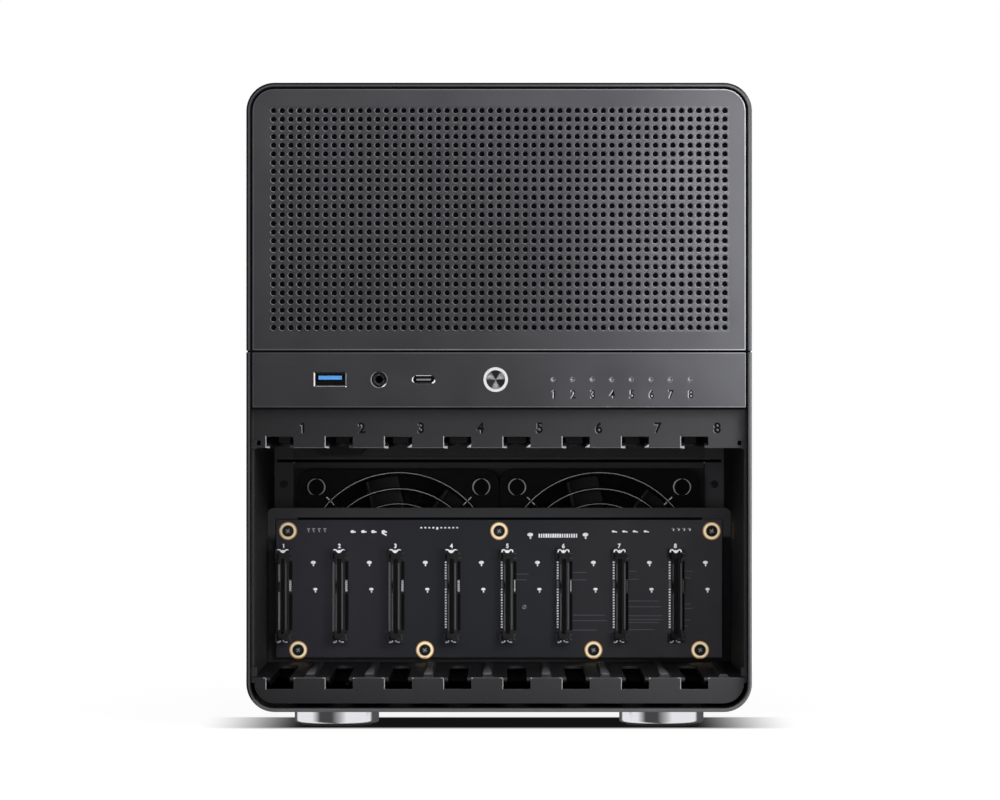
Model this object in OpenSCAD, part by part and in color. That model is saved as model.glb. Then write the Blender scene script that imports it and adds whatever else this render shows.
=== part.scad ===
// Eight-bay storage server case for a mini-ITX board, with the cover of its drive bays taken off.
// X runs to the right seen from the front, Y to the back and Z up.
// The origin is the centre of the footprint on the floor.

/* [Case] */
// Overall width of the case
body_w = 233; // [230:1:250]
// Overall depth of the case
body_d = 262; // [260:1:290]
// Overall height of the case, feet included
body_h = 298; // [294:1:320]
// Wall thickness of the two outer shells
shell_t = 2; // [1.6:0.1:2.4]
// Outer radius of the long shell edges
shell_r = 13; // [11:0.5:15]
// Height of the upper shell
upper_h = 123.4; // [121:0.1:126]
// Gap between the upper and the lower shell
split_gap = 0.8; // [0.5:0.1:1.2]
// Gap between the front panels and the shells
panel_gap = 0.7; // [0.5:0.1:1]
// Clearance of the pieces that slide past each other
slide_gap = 0.5; // [0.4:0.1:0.8]
// Thickness of the inner steel sheets
sheet_t = 1.2; // [1:0.1:1.4]

/* [Feet] */
// Height of the feet
foot_h = 8; // [7:0.5:10]
// Diameter of the feet
foot_d = 39.5; // [34:0.5:44]
// Distance of the feet from the middle plane
foot_x = 76; // [70:1:80]
// Distance of the feet from the front and the rear of the case
foot_y = 45; // [40:1:50]

/* [Front panels] */
// Thickness of the front panels
panel_t = 2; // [1.6:0.1:2.4]
// Depth of the front panels behind the rim of the shells
panel_inset = 1; // [0.8:0.1:1.4]
// Height of the strip that holds the ports
strip_h = 25.5; // [24:0.5:27]
// Distance between the holes of the front mesh
mesh_pitch = 4; // [3.9:0.05:4.05]
// Diameter of the holes of the front mesh
mesh_hole_d = 2.5; // [2:0.1:2.8]
// Number of holes across the front mesh
mesh_cols = 53; // [45:1:53]
// Number of rows of holes in the front mesh
mesh_rows = 26; // [20:1:26]
// Distance from the lower edge of the mesh panel to its first row of holes
mesh_edge = 10.6; // [9:0.1:12]

/* [Front ports] */
// Height of the port centres above the lower edge of the strip
port_line = 12.9; // [12.5:0.1:13.5]
// Distance of the wide data port to the left of the middle plane
usb_a_x = 77.9; // [74:0.1:82]
// Width of the wide data port
usb_a_w = 14.9; // [14:0.1:15.5]
// Height of the wide data port
usb_a_h = 6.5; // [6:0.1:7]
// Distance of the audio jack to the left of the middle plane
jack_x = 55.3; // [53:0.1:57]
// Diameter of the barrel of the audio jack
jack_d = 7.6; // [7:0.1:8]
// Diameter of the bore of the audio jack
jack_bore_d = 3.6; // [3.5:0.05:3.8]
// Distance of the oval data port to the left of the middle plane
usb_c_x = 34.8; // [32:0.1:37]
// Width of the oval data port
usb_c_w = 10.7; // [10:0.1:11.5]
// Height of the oval data port
usb_c_h = 3.6; // [3.2:0.1:4]
// Distance of the power button to the left of the middle plane
button_x = 1.6; // [0:0.1:6]
// Diameter of the cap of the power button
button_d = 8.1; // [7.5:0.1:8.6]
// Outer diameter of the ring round the power button
ring_d = 11.3; // [10.8:0.1:12]
// Travel of the power button
button_travel = 1.2; // [0.8:0.1:1.4]
// Distance of the first status light to the right of the middle plane
led_x = 24.75; // [22:0.25:27]
// Distance between the status lights
led_pitch = 9.02; // [8.5:0.01:9.5]
// Diameter of the status lights
led_d = 2; // [1.6:0.1:2.4]

/* [Drive bays] */
// Number of drive bays
bay_count = 8; // [6:1:8]
// Distance between two drive bays
bay_pitch = 27.4; // [27:0.1:27.6]
// Shift of the row of bay slots to the left of the middle plane
bay_shift = 5.5; // [5:0.1:6]
// Free height between the two trays
bay_h = 106.2; // [104:0.1:107]
// Height of the top of the lower tray above the underside of the case
tray_lift = 15.4; // [14:0.1:16]
// Depth of the tray flanges behind the front of the case
flange_inset = 10; // [9:0.5:12]
// Height of the flange of the upper tray
flange_h = 17.8; // [17:0.1:19]
// Width of the notches in the tray flanges
notch_w = 12.65; // [12:0.05:13]
// Depth of the notches in the tray flanges
notch_h = 5.3; // [4.8:0.1:6]
// Width of the slots in the trays
slot_w = 9.1; // [8.5:0.1:9.5]
// Length of the slots in the trays
slot_l = 117; // [110:1:125]

/* [Backplane] */
// Distance of the backplane board from the front of the case
board_inset = 165.8; // [164:0.1:168]
// Width of the backplane board
board_w = 218.2; // [217:0.1:222]
// Height of the backplane board
board_h = 67.5; // [66:0.1:68]
// Height of the lower edge of the backplane board above the lower tray
board_lift = 2.4; // [2:0.1:3]
// Length of a drive connector
conn_l = 45.8; // [44:0.1:47]
// Width of the end towers of a drive connector
conn_w = 7.6; // [7.2:0.1:8.2]
// Height of a drive connector in front of the board
conn_h = 8.8; // [8:0.1:10]
// Distance from a bay slot to the connector of its drive
conn_shift = 4.2; // [3.8:0.1:4.6]
// Height of the middle of the connectors above the lower tray
conn_rise = 32.6; // [32:0.1:34]

/* [Fans] */
// Side of the square fan frames
fan_size = 100; // [96:0.5:102]
// Depth of the fan frames
fan_t = 25; // [24:0.5:26]
// Distance between the two fan axes
fan_pitch = 100.4; // [100.3:0.1:102]
// Height of the fan frames above the case floor
fan_lift = 7; // [6:0.5:8]
// Distance between the fixing holes of a fan
fan_hole_pitch = 82.5; // [82:0.5:83]
// Diameter of the wind channel of a fan
fan_bore_d = 95; // [92:0.5:95.5]
// Diameter of the fan hub
hub_d = 38; // [34:1:42]
// Number of blades on a fan
blade_count = 7; // [5:1:9]
// Diameter of the wire of the fan guards
wire_d = 1.4; // [1.2:0.1:1.6]

/* [Rear] */
// Depth of the rear wall inside the rear edge of the shells
rear_inset = 7.2; // [7:0.1:9]
// Height of the fan door above the case floor
door_h = 109; // [108:0.5:111]
// Width of the board input and output cut-out
shield_w = 158.75; // [158.5:0.05:159]
// Height of the board input and output cut-out
shield_h = 44.45; // [44.3:0.05:44.6]
// Distance between two expansion slots
slot_pitch = 20.32; // [20.2:0.02:20.4]
// Diameter of the heads of the thumbscrews
thumb_d = 9; // [8:0.5:10]

/* [Motherboard] */
// Distance of the middle of the motherboard to the right of the middle plane
itx_shift = 20; // [18:0.5:22]
// Side of the square motherboard
itx_size = 170; // [169:0.5:171]
// Height of the motherboard standoffs
standoff_h = 6.35; // [6:0.05:6.6]
// Bore of the motherboard standoffs
standoff_bore_d = 2.9; // [2.7:0.05:3]

/* [Hidden] */
$fn = 48;
fine_sides = 96;
hole_sides = 16;

// Overrun of every cut past the face it opens
over = 1;
// Clearance round pieces that sit in a hole of the same assembly
fit_gap = 0.15;
// Clearance of small pieces that move
play = 0.3;
// Radial clearance of a shaft that turns in its bore
run_gap = 0.05;

// Planes of the case
half_w = body_w / 2;
front_y = -body_d / 2;
rear_y = body_d / 2;
inner_x = half_w - shell_t;
inner_r = shell_r - shell_t;
floor_z = foot_h + shell_t;
roof_z = body_h - shell_t;
upper_z = body_h - upper_h;
lower_top_z = upper_z - split_gap;
wall_y = rear_y - rear_inset;
wall_back_y = wall_y + sheet_t;

// Sliding upper shell: side windows, rear tabs and their screws
window_l = 160;
window_h = 84;
window_r = 8;
window_y = 15;
window_z = upper_z + upper_h / 2 - shell_t;
side_mesh_lap = 5;
side_mesh_pitch = 6.5;
side_mesh_hole_d = 4;
side_mesh_cols = 24;
side_mesh_rows = 12;
frame_x = inner_x - sheet_t - slide_gap;
frame_r = inner_r - slide_gap;
tab_w = 12;
tab_l = 74;
tab_z = upper_z + upper_h / 2;
tab_y = wall_back_y + slide_gap;
tab_screw_x = inner_x - tab_w + thumb_d / 2;
tab_screw_rise = 28;
thumb_shank_d = 3;
thumb_bore_d = 4;
thumb_reach = 2.4;
thumb_grooves = 12;
thumb_neck_share = 0.8;
thumb_step_share = 0.2;
thumb_groove_share = 0.12;
thumb_slot_l_share = 0.6;
thumb_slot_w_share = 0.12;

// Front panels
panel_x = inner_x - panel_gap;
panel_r = inner_r - panel_gap;
panel_y = front_y + panel_inset;
panel_back_y = panel_y + panel_t;
panel_top_z = roof_z - panel_gap;
strip_z = lower_top_z - strip_h;
frame_back_y = panel_back_y + sheet_t;
frame_top_z = roof_z - slide_gap;
frame_border = 6;
frame_foot = 7.6;
strip_window_x = frame_x - frame_border;
strip_window_edge = 3.2;
filter_gap = 0.3;
filter_t = 0.8;

// Ports on the strip and the small board behind them
port_z = strip_z + port_line;
io_board_t = 1.6;
io_board_edge = 10.8;
io_board_x = strip_window_x - io_board_edge;
io_board_l = 16;
io_board_top_z = port_z - usb_a_h / 2;
io_board_gap = 3.3;
io_board_y = frame_back_y + io_board_gap;
spacer_d = 5;
spacer_bore_d = 2.5;
spacer_x_shares = [-0.93, -0.14, 0.93];
usb_a_t = 0.45;
usb_a_l = 15;
usb_a_tongue_w = 10.8;
usb_a_tongue_t = 1.8;
usb_a_tongue_rise = 0.9;
usb_a_tongue_inset = 0.9;
jack_recess_d = 6.4;
jack_recess = 0.8;
jack_l = 15;
jack_body_w = 8.4;
usb_c_t = 0.4;
usb_c_l = 9;
usb_c_tongue_w = 6.6;
usb_c_tongue_t = 0.8;
usb_c_tongue_inset = 0.8;
usb_c_seat_w = 7;
ring_proud = 0.5;
ring_bore_d = button_d + 2 * play;
ring_collar_w = 1.2;
ring_collar_d = ring_d + 2 * ring_collar_w;
ring_collar_t = 1;
button_inset = 0.3;
button_collar_w = 0.6;
button_collar_d = ring_bore_d + 2 * button_collar_w;
button_collar_t = 1;
button_dish = 0.25;
stem_d = 2.8;
stem_reach = 0.9;
switch_w = 8;
switch_l = 7.5;
button_collar_y = panel_back_y + ring_collar_t + play;
button_collar_back_y = button_collar_y + button_collar_t;
switch_gap = 4;
switch_y = button_collar_back_y + button_travel + switch_gap;
led_pipe_l = 5.6;
led_w = 2.2;
led_l = 2.6;
led_h = 4.3;

// Drive bays
bay_z = foot_h + tray_lift;
bay_top_z = bay_z + bay_h;
flange_y = front_y + flange_inset;
flange_back_y = flange_y + sheet_t;
deck_z = bay_top_z + flange_h;
deck_top_z = deck_z + sheet_t;
side_x = inner_x - sheet_t;
tray_corner_cut_w = 3;
tray_corner_cut_h = 3.4;
flange_gap = 1.5;
upper_tray_back = 151;
lower_tray_back = 176;
rib_w = 5;
rib_top_w = 3;
rib_h = 1.2;
rib_shift = bay_pitch / 2;
rib_front = 8;
rib_l = 128;
guide_w = 1.5;
guide_h = 3.2;
guide_nose = 7;
guide_nose_h = 1;
guide_l = 108;
guide_front = 0.6;
catch_w = 2.2;
catch_h = 4;
catch_t = 2.6;
catch_rise = 0.8;
catch_drop = 0.4;
return_w = 9.5;

// Backplane
board_t = 1.6;
board_y = front_y + board_inset;
board_back_y = board_y + board_t;
board_z = bay_z + board_lift;
board_top_z = board_z + board_h;
boss_h = 2;
boss_d = 8;
bracket_y = board_back_y + boss_h;
bracket_back_y = bracket_y + sheet_t;
bracket_proud = 0.8;
bracket_front_y = board_y - bracket_proud;
bracket_gap = 0.5;
bracket_rail_h = 5.2;
bracket_top_z = board_top_z + bracket_gap + bracket_rail_h;
bracket_ear_w = side_x - board_w / 2 - bracket_gap;
bracket_ear_h = 15.8;
bracket_r = 3;
bracket_window_w = 26;
bracket_window_h = 44;
bracket_window_x_shares = [-0.66, -0.22, 0.22, 0.66];
bracket_window_z = board_z + board_h / 2;
pad_d = 8.75;
pad_t = 0.3;
pad_hole_d = 3.4;
pad_edge = 5.6;
pad_top_x_shares = [-0.947, 0, 0.953];
pad_bottom_x_shares = [-0.901, -0.333, 0.423, 0.901];
pad_foot = 3.7;
screw_d = 3;
screw_head_d = 5.4;
screw_head_t = 1.6;
screw_recess_d = 2.4;
screw_recess = 0.8;
screw_reach = 2.6;
conn_z = bay_z + conn_rise;
conn_y = board_y - conn_h;
conn_end = 4.6;
conn_body_w = 5;
conn_body_shift = 0.4;
conn_slot_w = 2;
conn_slot_shift = 0.2;
conn_slot_depth = 6;
conn_step = 1.4;
conn_bump_w = 1.4;
conn_bump_l = 6;
conn_bump_shift = 5.1;
port_w = 14.4;
port_t = 6;
port_l = 8;
port_slot_w = 10.4;
port_slot_t = 1.6;
port_slot_depth = 6;
port_row_rise_shares = [0.25, -0.02];
power_w = 22;
power_t = 9;
power_l = 12;
power_rise_share = -0.34;
power_pin_d = 3.2;
power_pin_pitch = 5.08;
power_pin_shares = [-1.5, -0.5, 0.5, 1.5];

// Fans and their door
fan_z = floor_z + fan_lift + fan_size / 2;
fan_y = wall_y - fan_t;
fan_corner_r = 7;
fan_flange_t = 3.8;
fan_duct_t = 1.9;
fan_hole_d = 4.5;
fan_strut_w = 4;
fan_strut_t = 2.4;
fan_seat_t = 4;
rotor_gap = 1;
rotor_front = 2;
hub_l = 17;
blade_l = 20;
blade_t = 1.6;
blade_camber_r = 26;
blade_angle = 42;
blade_root = 2.5;
shaft_d = 3;
guard_ring_shares = [0.97, 0.808, 0.658, 0.5, 0.33, 0.17];
guard_loop_r = 4.15;
diagonal_share = sqrt(2);
guard_weld = 0.2;
guard_screw_d = 3.6;
guard_screw_head_d = 7.6;
guard_screw_head_t = 1.6;
guard_screw_reach = 9;
fan_screw_reach = 9;
fan_screw_head_d = 7;
fan_screw_head_t = 2;
door_x = frame_x;
door_gap = 1.2;
door_z = floor_z + door_gap;
door_top_z = door_z + door_h;
door_r = inner_r - door_gap;
door_mesh_pitch = 7;
door_mesh_hole_d = 5;
door_mesh_count = 6;
door_mesh_row_share = 0.866;
filter_ring_w = 2.5;
filter_ring_t = 1.8;
door_screw_x = side_x - return_w / 2;
door_screw_z_shares = [0.16, 0.9];

// Rear wall above the fan door
rear_z = door_top_z + split_gap;
rear_top_z = frame_top_z;
lip_x = side_x - return_w - slide_gap;
lip_z = fan_z + fan_size / 2 + slide_gap;
lip_lap = 2.5;
sill_x = inner_x + shell_t / 2;
sill_r = inner_r + shell_t / 2;
sill_h = door_gap + lip_lap;
shield_edge = 2;
shield_x = itx_shift + itx_size / 2 - shield_edge - shield_w / 2;
shield_drop = 1.4;
shield_z = deck_top_z + standoff_h - shield_drop;
pci_gap = 1.5;
pci_x = itx_shift - itx_size / 2 - pci_gap;
pci_w = 12.1;
pci_h = 104;
pci_rise = 4;
pci_z = shield_z + pci_rise;
pci_count = 2;
cover_w = 18.4;
cover_h = 116;
cover_t = 0.9;
cover_lap = 3;
cover_screw_drop = 5;
rear_screw_d = 3;
rear_screw_head_d = 6;
rear_screw_head_t = 2;
cover_vent_w = 2;
cover_vent_l = 12;
cover_vent_pitch = 4;
cover_vent_first = 3;
cover_vent_count = 16;
exhaust_size = 80;
exhaust_hole_pitch = 71.5;
exhaust_hole_d = 4.3;
exhaust_pitch = 82;
exhaust_x = shield_x;
exhaust_z = (shield_z + shield_h + rear_top_z) / 2;
exhaust_ring_shares = [0.26, 0.5, 0.74, 0.98];
exhaust_ring_w = 5;
exhaust_web_w = 5;
inlet_x = 80;
inlet_z = (rear_z + deck_z) / 2;
inlet_w = 27.4;
inlet_h = 20;
inlet_flange_w = 48;
inlet_flange_h = 22.4;
inlet_flange_t = 2.4;
inlet_l = 22;
inlet_wall = 1.6;
inlet_corner = 4;
inlet_pin_w = 2;
inlet_pin_t = 4;
inlet_pin_l = 14;
inlet_pin_pitch = 7;
inlet_pin_drop = 2;
inlet_screw_pitch = 40;
inlet_screw_d = 3.4;

// Power supply bracket
psu_x = 60;
psu_gap = 4.8;
psu_y = frame_back_y + psu_gap;
psu_w = 63.5;
psu_l = 125;
psu_top_gap = 2;
psu_hole_w = 51.5;
psu_hole_l = 113;
psu_hole_d = 3.6;
psu_edge = 12;
psu_foot = 12;
psu_window_r = 5;
psu_z = frame_top_z - psu_top_gap - psu_l / 2;
psu_notch_y = io_board_y + io_board_l + io_board_gap;
psu_notch_z = port_z + usb_a_h / 2 + io_board_gap;

// Motherboard deck
itx_rear_gap = 2.4;
itx_y = wall_y - itx_rear_gap - itx_size / 2;
itx_hole_w = 157.48;
itx_hole_l = 154.94;
itx_hole_short_l = 132.08;
itx_hole_shift = 2.63;
standoff_d = 6.5;
deck_slot_w = 26;
deck_slot_l = 90;
deck_slot_x = 95;
rail_w = 12;
rail_drop = 6.5;
rail_top_z = roof_z - rail_drop;

// Feet
foot_edge_r = 1.2;
foot_pad_d = 33;
foot_pad_t = 1.6;
foot_pad_sink = 1;
foot_bore_d = 4.4;
foot_recess_d = 10;
foot_recess = 3.4;
foot_screw_d = 4;
foot_screw_head_d = 8;
foot_screw_head_t = 2.4;
foot_screw_reach = 1;

function bay_x(i) = (i - (bay_count - 1) / 2) * bay_pitch - bay_shift;
function led_at(i) = led_x + i * led_pitch;
function conn_x(i) = bay_x(i) - conn_shift;
function side_sign(left) = left ? -1 : 1;

// Extrusions of a drawing along each axis, between two planes
module along_x(x0, x1) {
    translate([x0, 0, 0])
        rotate([90, 0, 90])
            linear_extrude(x1 - x0)
                children();
}

module along_y(y0, y1) {
    translate([0, y1, 0])
        rotate([90, 0, 0])
            linear_extrude(y1 - y0)
                children();
}

module along_z(z0, z1) {
    translate([0, 0, z0])
        linear_extrude(z1 - z0)
            children();
}

module both_sides() {
    children();
    mirror([1, 0, 0])
        children();
}

module block(x0, x1, y0, y1, z0, z1) {
    translate([x0, y0, z0])
        cube([x1 - x0, y1 - y0, z1 - z0]);
}

// Rod along Y at a place in the front view
module rod_y(x, z, d, y0, y1) {
    translate([x, y1, z])
        rotate([90, 0, 0])
            cylinder(h = y1 - y0, d = d);
}

// Rectangle with round upper corners and round lower corners, either of which may be sharp
module plate_outline(x0, x1, z0, z1, r_low, r_high) {
    translate([x0 + r_low, z0])
        square([x1 - x0 - 2 * r_low, z1 - z0 - r_high]);
    translate([x0 + r_high, z0 + r_low])
        square([x1 - x0 - 2 * r_high, z1 - z0 - r_low]);
    translate([x0, z0 + r_low])
        square([x1 - x0, z1 - z0 - r_low - r_high]);
    if (r_low > 0)
        for (x = [x0 + r_low, x1 - r_low])
            translate([x, z0 + r_low])
                circle(r = r_low);
    if (r_high > 0)
        for (x = [x0 + r_high, x1 - r_high])
            translate([x, z1 - r_high])
                circle(r = r_high);
}

// Oval with straight sides, wider than it is high
module oval(w, h) {
    square([w - h, h], center = true);
    for (s = [-1, 1])
        translate([s * (w - h) / 2, 0])
            circle(d = h);
}

// Outer shells
module shell_section() {
    difference() {
        plate_outline(-half_w, half_w, foot_h, body_h, shell_r, shell_r);
        plate_outline(-inner_x, inner_x, floor_z, roof_z, inner_r, inner_r);
    }
}

module feet_places() {
    for (x = [-foot_x, foot_x], y = [front_y + foot_y, rear_y - foot_y])
        translate([x, y, 0])
            children();
}

// Sill inside the rear of the lower shell that the lower edge of the fan door closes against
module door_sill() {
    along_y(wall_y - sheet_t, wall_y)
        difference() {
            intersection() {
                plate_outline(-sill_x, sill_x, floor_z - shell_t / 2, roof_z, sill_r, 0);
                translate([-half_w, foot_h])
                    square([body_w, floor_z + inner_r - foot_h]);
            }
            plate_outline(
                -inner_x + sill_h, inner_x - sill_h, floor_z + sill_h, roof_z,
                inner_r - sill_h, 0
            );
        }
}

module lower_shell() {
    color("#4a4a4e")
    difference() {
        union() {
            along_y(front_y, rear_y)
                intersection() {
                    shell_section();
                    translate([-half_w, foot_h])
                        square([body_w, lower_top_z - foot_h]);
                }
            door_sill();
        }
        feet_places()
            translate([0, 0, foot_h - over])
                cylinder(h = shell_t + 2 * over, d = foot_screw_d);
    }
}

module upper_shell_tab() {
    difference() {
        block(inner_x - tab_w, inner_x, tab_y, tab_y + sheet_t, tab_z - tab_l / 2, tab_z + tab_l / 2);
        for (s = [-1, 1])
            rod_y(tab_screw_x, tab_z + s * tab_screw_rise, thumb_shank_d, tab_y - over, tab_y + sheet_t + over);
    }
}

module upper_shell() {
    color("#4a4a4e") {
        difference() {
            along_y(front_y, rear_y)
                intersection() {
                    shell_section();
                    translate([-half_w, upper_z])
                        square([body_w, upper_h]);
                }
            along_x(-half_w - over, half_w + over)
                plate_outline(
                    window_y - window_l / 2, window_y + window_l / 2,
                    window_z - window_h / 2, window_z + window_h / 2, window_r, window_r
                );
        }
        both_sides()
            upper_shell_tab();
    }
}

// Perforated sheet behind each side window of the upper shell
module side_mesh(left) {
    x = side_sign(left) * (inner_x - sheet_t / 2);
    color("#3a3a3d")
    along_x(x - sheet_t / 2, x + sheet_t / 2)
        difference() {
            plate_outline(
                window_y - window_l / 2 - side_mesh_lap, window_y + window_l / 2 + side_mesh_lap,
                window_z - window_h / 2 - side_mesh_lap, window_z + window_h / 2 + side_mesh_lap,
                window_r, window_r
            );
            for (i = [0:side_mesh_cols - 1], j = [0:side_mesh_rows - 1])
                translate([
                    window_y + (i - (side_mesh_cols - 1) / 2) * side_mesh_pitch,
                    window_z + (j - (side_mesh_rows - 1) / 2) * side_mesh_pitch
                ])
                    circle(d = side_mesh_hole_d, $fn = hole_sides);
        }
}

// Front panels
module front_mesh_panel() {
    color("#55555a")
    along_y(panel_y, panel_back_y)
        difference() {
            plate_outline(-panel_x, panel_x, upper_z, panel_top_z, 0, panel_r);
            for (i = [0:mesh_cols - 1], j = [0:mesh_rows - 1])
                translate([(i - (mesh_cols - 1) / 2) * mesh_pitch, upper_z + mesh_edge + j * mesh_pitch])
                    circle(d = mesh_hole_d, $fn = hole_sides);
        }
}

module front_frame() {
    color("#2c2c2e") {
        along_y(panel_back_y, frame_back_y)
            difference() {
                plate_outline(-frame_x, frame_x, deck_top_z, frame_top_z, 0, frame_r);
                plate_outline(
                    -frame_x + frame_border, frame_x - frame_border,
                    upper_z + frame_border, frame_top_z - frame_border, frame_border, frame_border
                );
                plate_outline(
                    -strip_window_x, strip_window_x,
                    strip_z + strip_window_edge, lower_top_z - strip_window_edge, 0, 0
                );
            }
        block(-frame_x, frame_x, frame_back_y, frame_back_y + frame_foot, deck_top_z, deck_top_z + sheet_t);
    }
}

// Filter cloth that lies in the upper window of the frame, behind the mesh
module front_filter() {
    filter_x = frame_x - frame_border - filter_gap;
    color("#1b1b1c")
    along_y(panel_back_y, panel_back_y + filter_t)
        plate_outline(
            -filter_x, filter_x,
            upper_z + frame_border + filter_gap, frame_top_z - frame_border - filter_gap,
            frame_border, frame_border
        );
}

// Two angle sections that tie the front frame to the rear wall below the roof
module top_rails() {
    color("#2c2c2e")
    both_sides() {
        block(frame_x - sheet_t, frame_x, frame_back_y, wall_y, rail_top_z - rail_w, rail_top_z);
        block(frame_x - rail_w, frame_x - sheet_t, frame_back_y, wall_y, rail_top_z - sheet_t, rail_top_z);
    }
}

module io_strip() {
    color("#4f4f54")
    along_y(panel_y, panel_back_y)
        difference() {
            plate_outline(-panel_x, panel_x, strip_z, lower_top_z, 0, 0);
            translate([-usb_a_x, port_z])
                square([usb_a_w + 2 * fit_gap, usb_a_h + 2 * fit_gap], center = true);
            translate([-jack_x, port_z])
                circle(d = jack_d + 2 * fit_gap);
            translate([-usb_c_x, port_z])
                oval(usb_c_w + 2 * fit_gap, usb_c_h + 2 * fit_gap);
            translate([-button_x, port_z])
                circle(d = ring_d + 2 * fit_gap);
            for (i = [0:bay_count - 1])
                translate([led_at(i), port_z])
                    circle(d = led_d + 2 * fit_gap);
        }
}

// Small board behind the strip, with the spacers that carry it
module spacer_places() {
    for (s = spacer_x_shares)
        translate([s * io_board_x, io_board_y + io_board_l / 2 + spacer_d / 2, 0])
            children();
}

module io_board() {
    color("#1d3a2c")
    difference() {
        block(
            -io_board_x, io_board_x, io_board_y, io_board_y + io_board_l,
            io_board_top_z - io_board_t, io_board_top_z
        );
        spacer_places()
            translate([0, 0, io_board_top_z - io_board_t - over])
                cylinder(h = io_board_t + 2 * over, d = spacer_bore_d);
    }
}

module io_board_spacers() {
    color("silver")
    spacer_places()
        along_z(deck_top_z, io_board_top_z - io_board_t)
            difference() {
                circle(d = spacer_d);
                circle(d = spacer_bore_d);
            }
}

module usb_a_shell() {
    color("silver")
    difference() {
        along_y(panel_y, panel_y + usb_a_l)
            translate([-usb_a_x, port_z])
                square([usb_a_w, usb_a_h], center = true);
        along_y(panel_y - over, panel_y + usb_a_l - usb_a_t)
            translate([-usb_a_x, port_z])
                square([usb_a_w - 2 * usb_a_t, usb_a_h - 2 * usb_a_t], center = true);
    }
}

module usb_a_tongue() {
    color("#2f7fd6")
    along_y(panel_y + usb_a_tongue_inset, panel_y + usb_a_l - usb_a_t)
        translate([-usb_a_x, port_z + usb_a_tongue_rise])
            square([usb_a_tongue_w, usb_a_tongue_t], center = true);
}

module audio_jack() {
    color("#1a1a1c")
    difference() {
        union() {
            rod_y(-jack_x, port_z, jack_d, panel_y, io_board_y);
            block(
                -jack_x - jack_body_w / 2, -jack_x + jack_body_w / 2,
                io_board_y, panel_y + jack_l, io_board_top_z, port_z + usb_a_h / 2
            );
        }
        rod_y(-jack_x, port_z, jack_bore_d, panel_y - over, panel_y + jack_l + over);
        rod_y(-jack_x, port_z, jack_recess_d, panel_y - over, panel_y + jack_recess);
    }
}

module usb_c_shell() {
    color("silver") {
        along_y(panel_y, panel_y + usb_c_l)
            translate([-usb_c_x, port_z])
                difference() {
                    oval(usb_c_w, usb_c_h);
                    oval(usb_c_w - 2 * usb_c_t, usb_c_h - 2 * usb_c_t);
                }
        along_y(panel_y + usb_c_l, panel_y + usb_c_l + usb_c_t)
            translate([-usb_c_x, port_z])
                oval(usb_c_w, usb_c_h);
        block(
            -usb_c_x - usb_c_seat_w / 2, -usb_c_x + usb_c_seat_w / 2,
            io_board_y, panel_y + usb_c_l + usb_c_t, io_board_top_z, port_z - usb_c_h / 2 + usb_c_t / 2
        );
    }
}

module usb_c_tongue() {
    color("#1a1a1c")
    along_y(panel_y + usb_c_tongue_inset, panel_y + usb_c_l)
        translate([-usb_c_x, port_z])
            square([usb_c_tongue_w, usb_c_tongue_t], center = true);
}

module power_button_ring() {
    color("#e6e6e8")
    difference() {
        union() {
            rod_y(-button_x, port_z, ring_d, panel_y - ring_proud, panel_back_y);
            rod_y(-button_x, port_z, ring_collar_d, panel_back_y, panel_back_y + ring_collar_t);
        }
        rod_y(-button_x, port_z, ring_bore_d, panel_y - ring_proud - over, panel_back_y + ring_collar_t + over);
    }
}

module power_button() {
    color("#3a3a3c")
    difference() {
        union() {
            rod_y(-button_x, port_z, button_d, panel_y - button_inset, button_collar_y);
            rod_y(-button_x, port_z, button_collar_d, button_collar_y, button_collar_back_y);
            rod_y(-button_x, port_z, stem_d, button_collar_back_y, switch_y + stem_reach);
        }
        // Shallow dish in the face of the cap
        translate([-button_x, panel_y - button_inset + button_dish, port_z])
            rotate([90, 0, 0])
                cylinder(h = button_dish + over, d1 = 0, d2 = button_d * (1 + over / button_dish));
    }
}

module power_switch() {
    color("#1a1a1c")
    difference() {
        block(
            -button_x - switch_w / 2, -button_x + switch_w / 2, switch_y, switch_y + switch_l,
            io_board_top_z, port_z + usb_a_h / 2
        );
        rod_y(
            -button_x, port_z, stem_d + 2 * play, switch_y - over,
            switch_y + stem_reach + button_travel + play
        );
    }
}

module led_light_pipes() {
    color("#d8dde2")
    for (i = [0:bay_count - 1])
        rod_y(led_at(i), port_z, led_d, panel_y, panel_y + led_pipe_l);
}

module status_leds() {
    color("#f2f2f2")
    for (i = [0:bay_count - 1])
        translate([led_at(i), 0, 0])
            block(
                -led_w / 2, led_w / 2, panel_y + led_pipe_l + fit_gap, io_board_y + led_l,
                io_board_top_z, io_board_top_z + led_h
            );
}

// Trays that guide the drives, cut from one drawing of the slots
module tray_slots() {
    for (i = [0:bay_count - 1])
        translate([bay_x(i), flange_y - over]) {
            translate([-slot_w / 2, 0])
                square([slot_w, slot_l + over - slot_w / 2]);
            translate([0, slot_l + over - slot_w / 2])
                circle(d = slot_w);
        }
}

module tray_plate(z0, z1, back) {
    along_z(z0, z1)
        difference() {
            translate([-side_x, flange_y])
                square([2 * side_x, back - flange_inset]);
            tray_slots();
        }
}

module upper_bay_tray() {
    color("#3c3c40")
    union() {
        tray_plate(bay_top_z, bay_top_z + sheet_t, upper_tray_back);
        along_y(flange_y, flange_back_y)
            difference() {
                plate_outline(-side_x, side_x, bay_top_z + sheet_t, deck_z, 0, 0);
                for (i = [0:bay_count - 1])
                    translate([bay_x(i) - notch_w / 2, bay_top_z])
                        square([notch_w, notch_h]);
                for (s = [-1, 1])
                    translate([s * side_x - tray_corner_cut_w, bay_top_z])
                        square([2 * tray_corner_cut_w, tray_corner_cut_h]);
            }
    }
}

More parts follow.
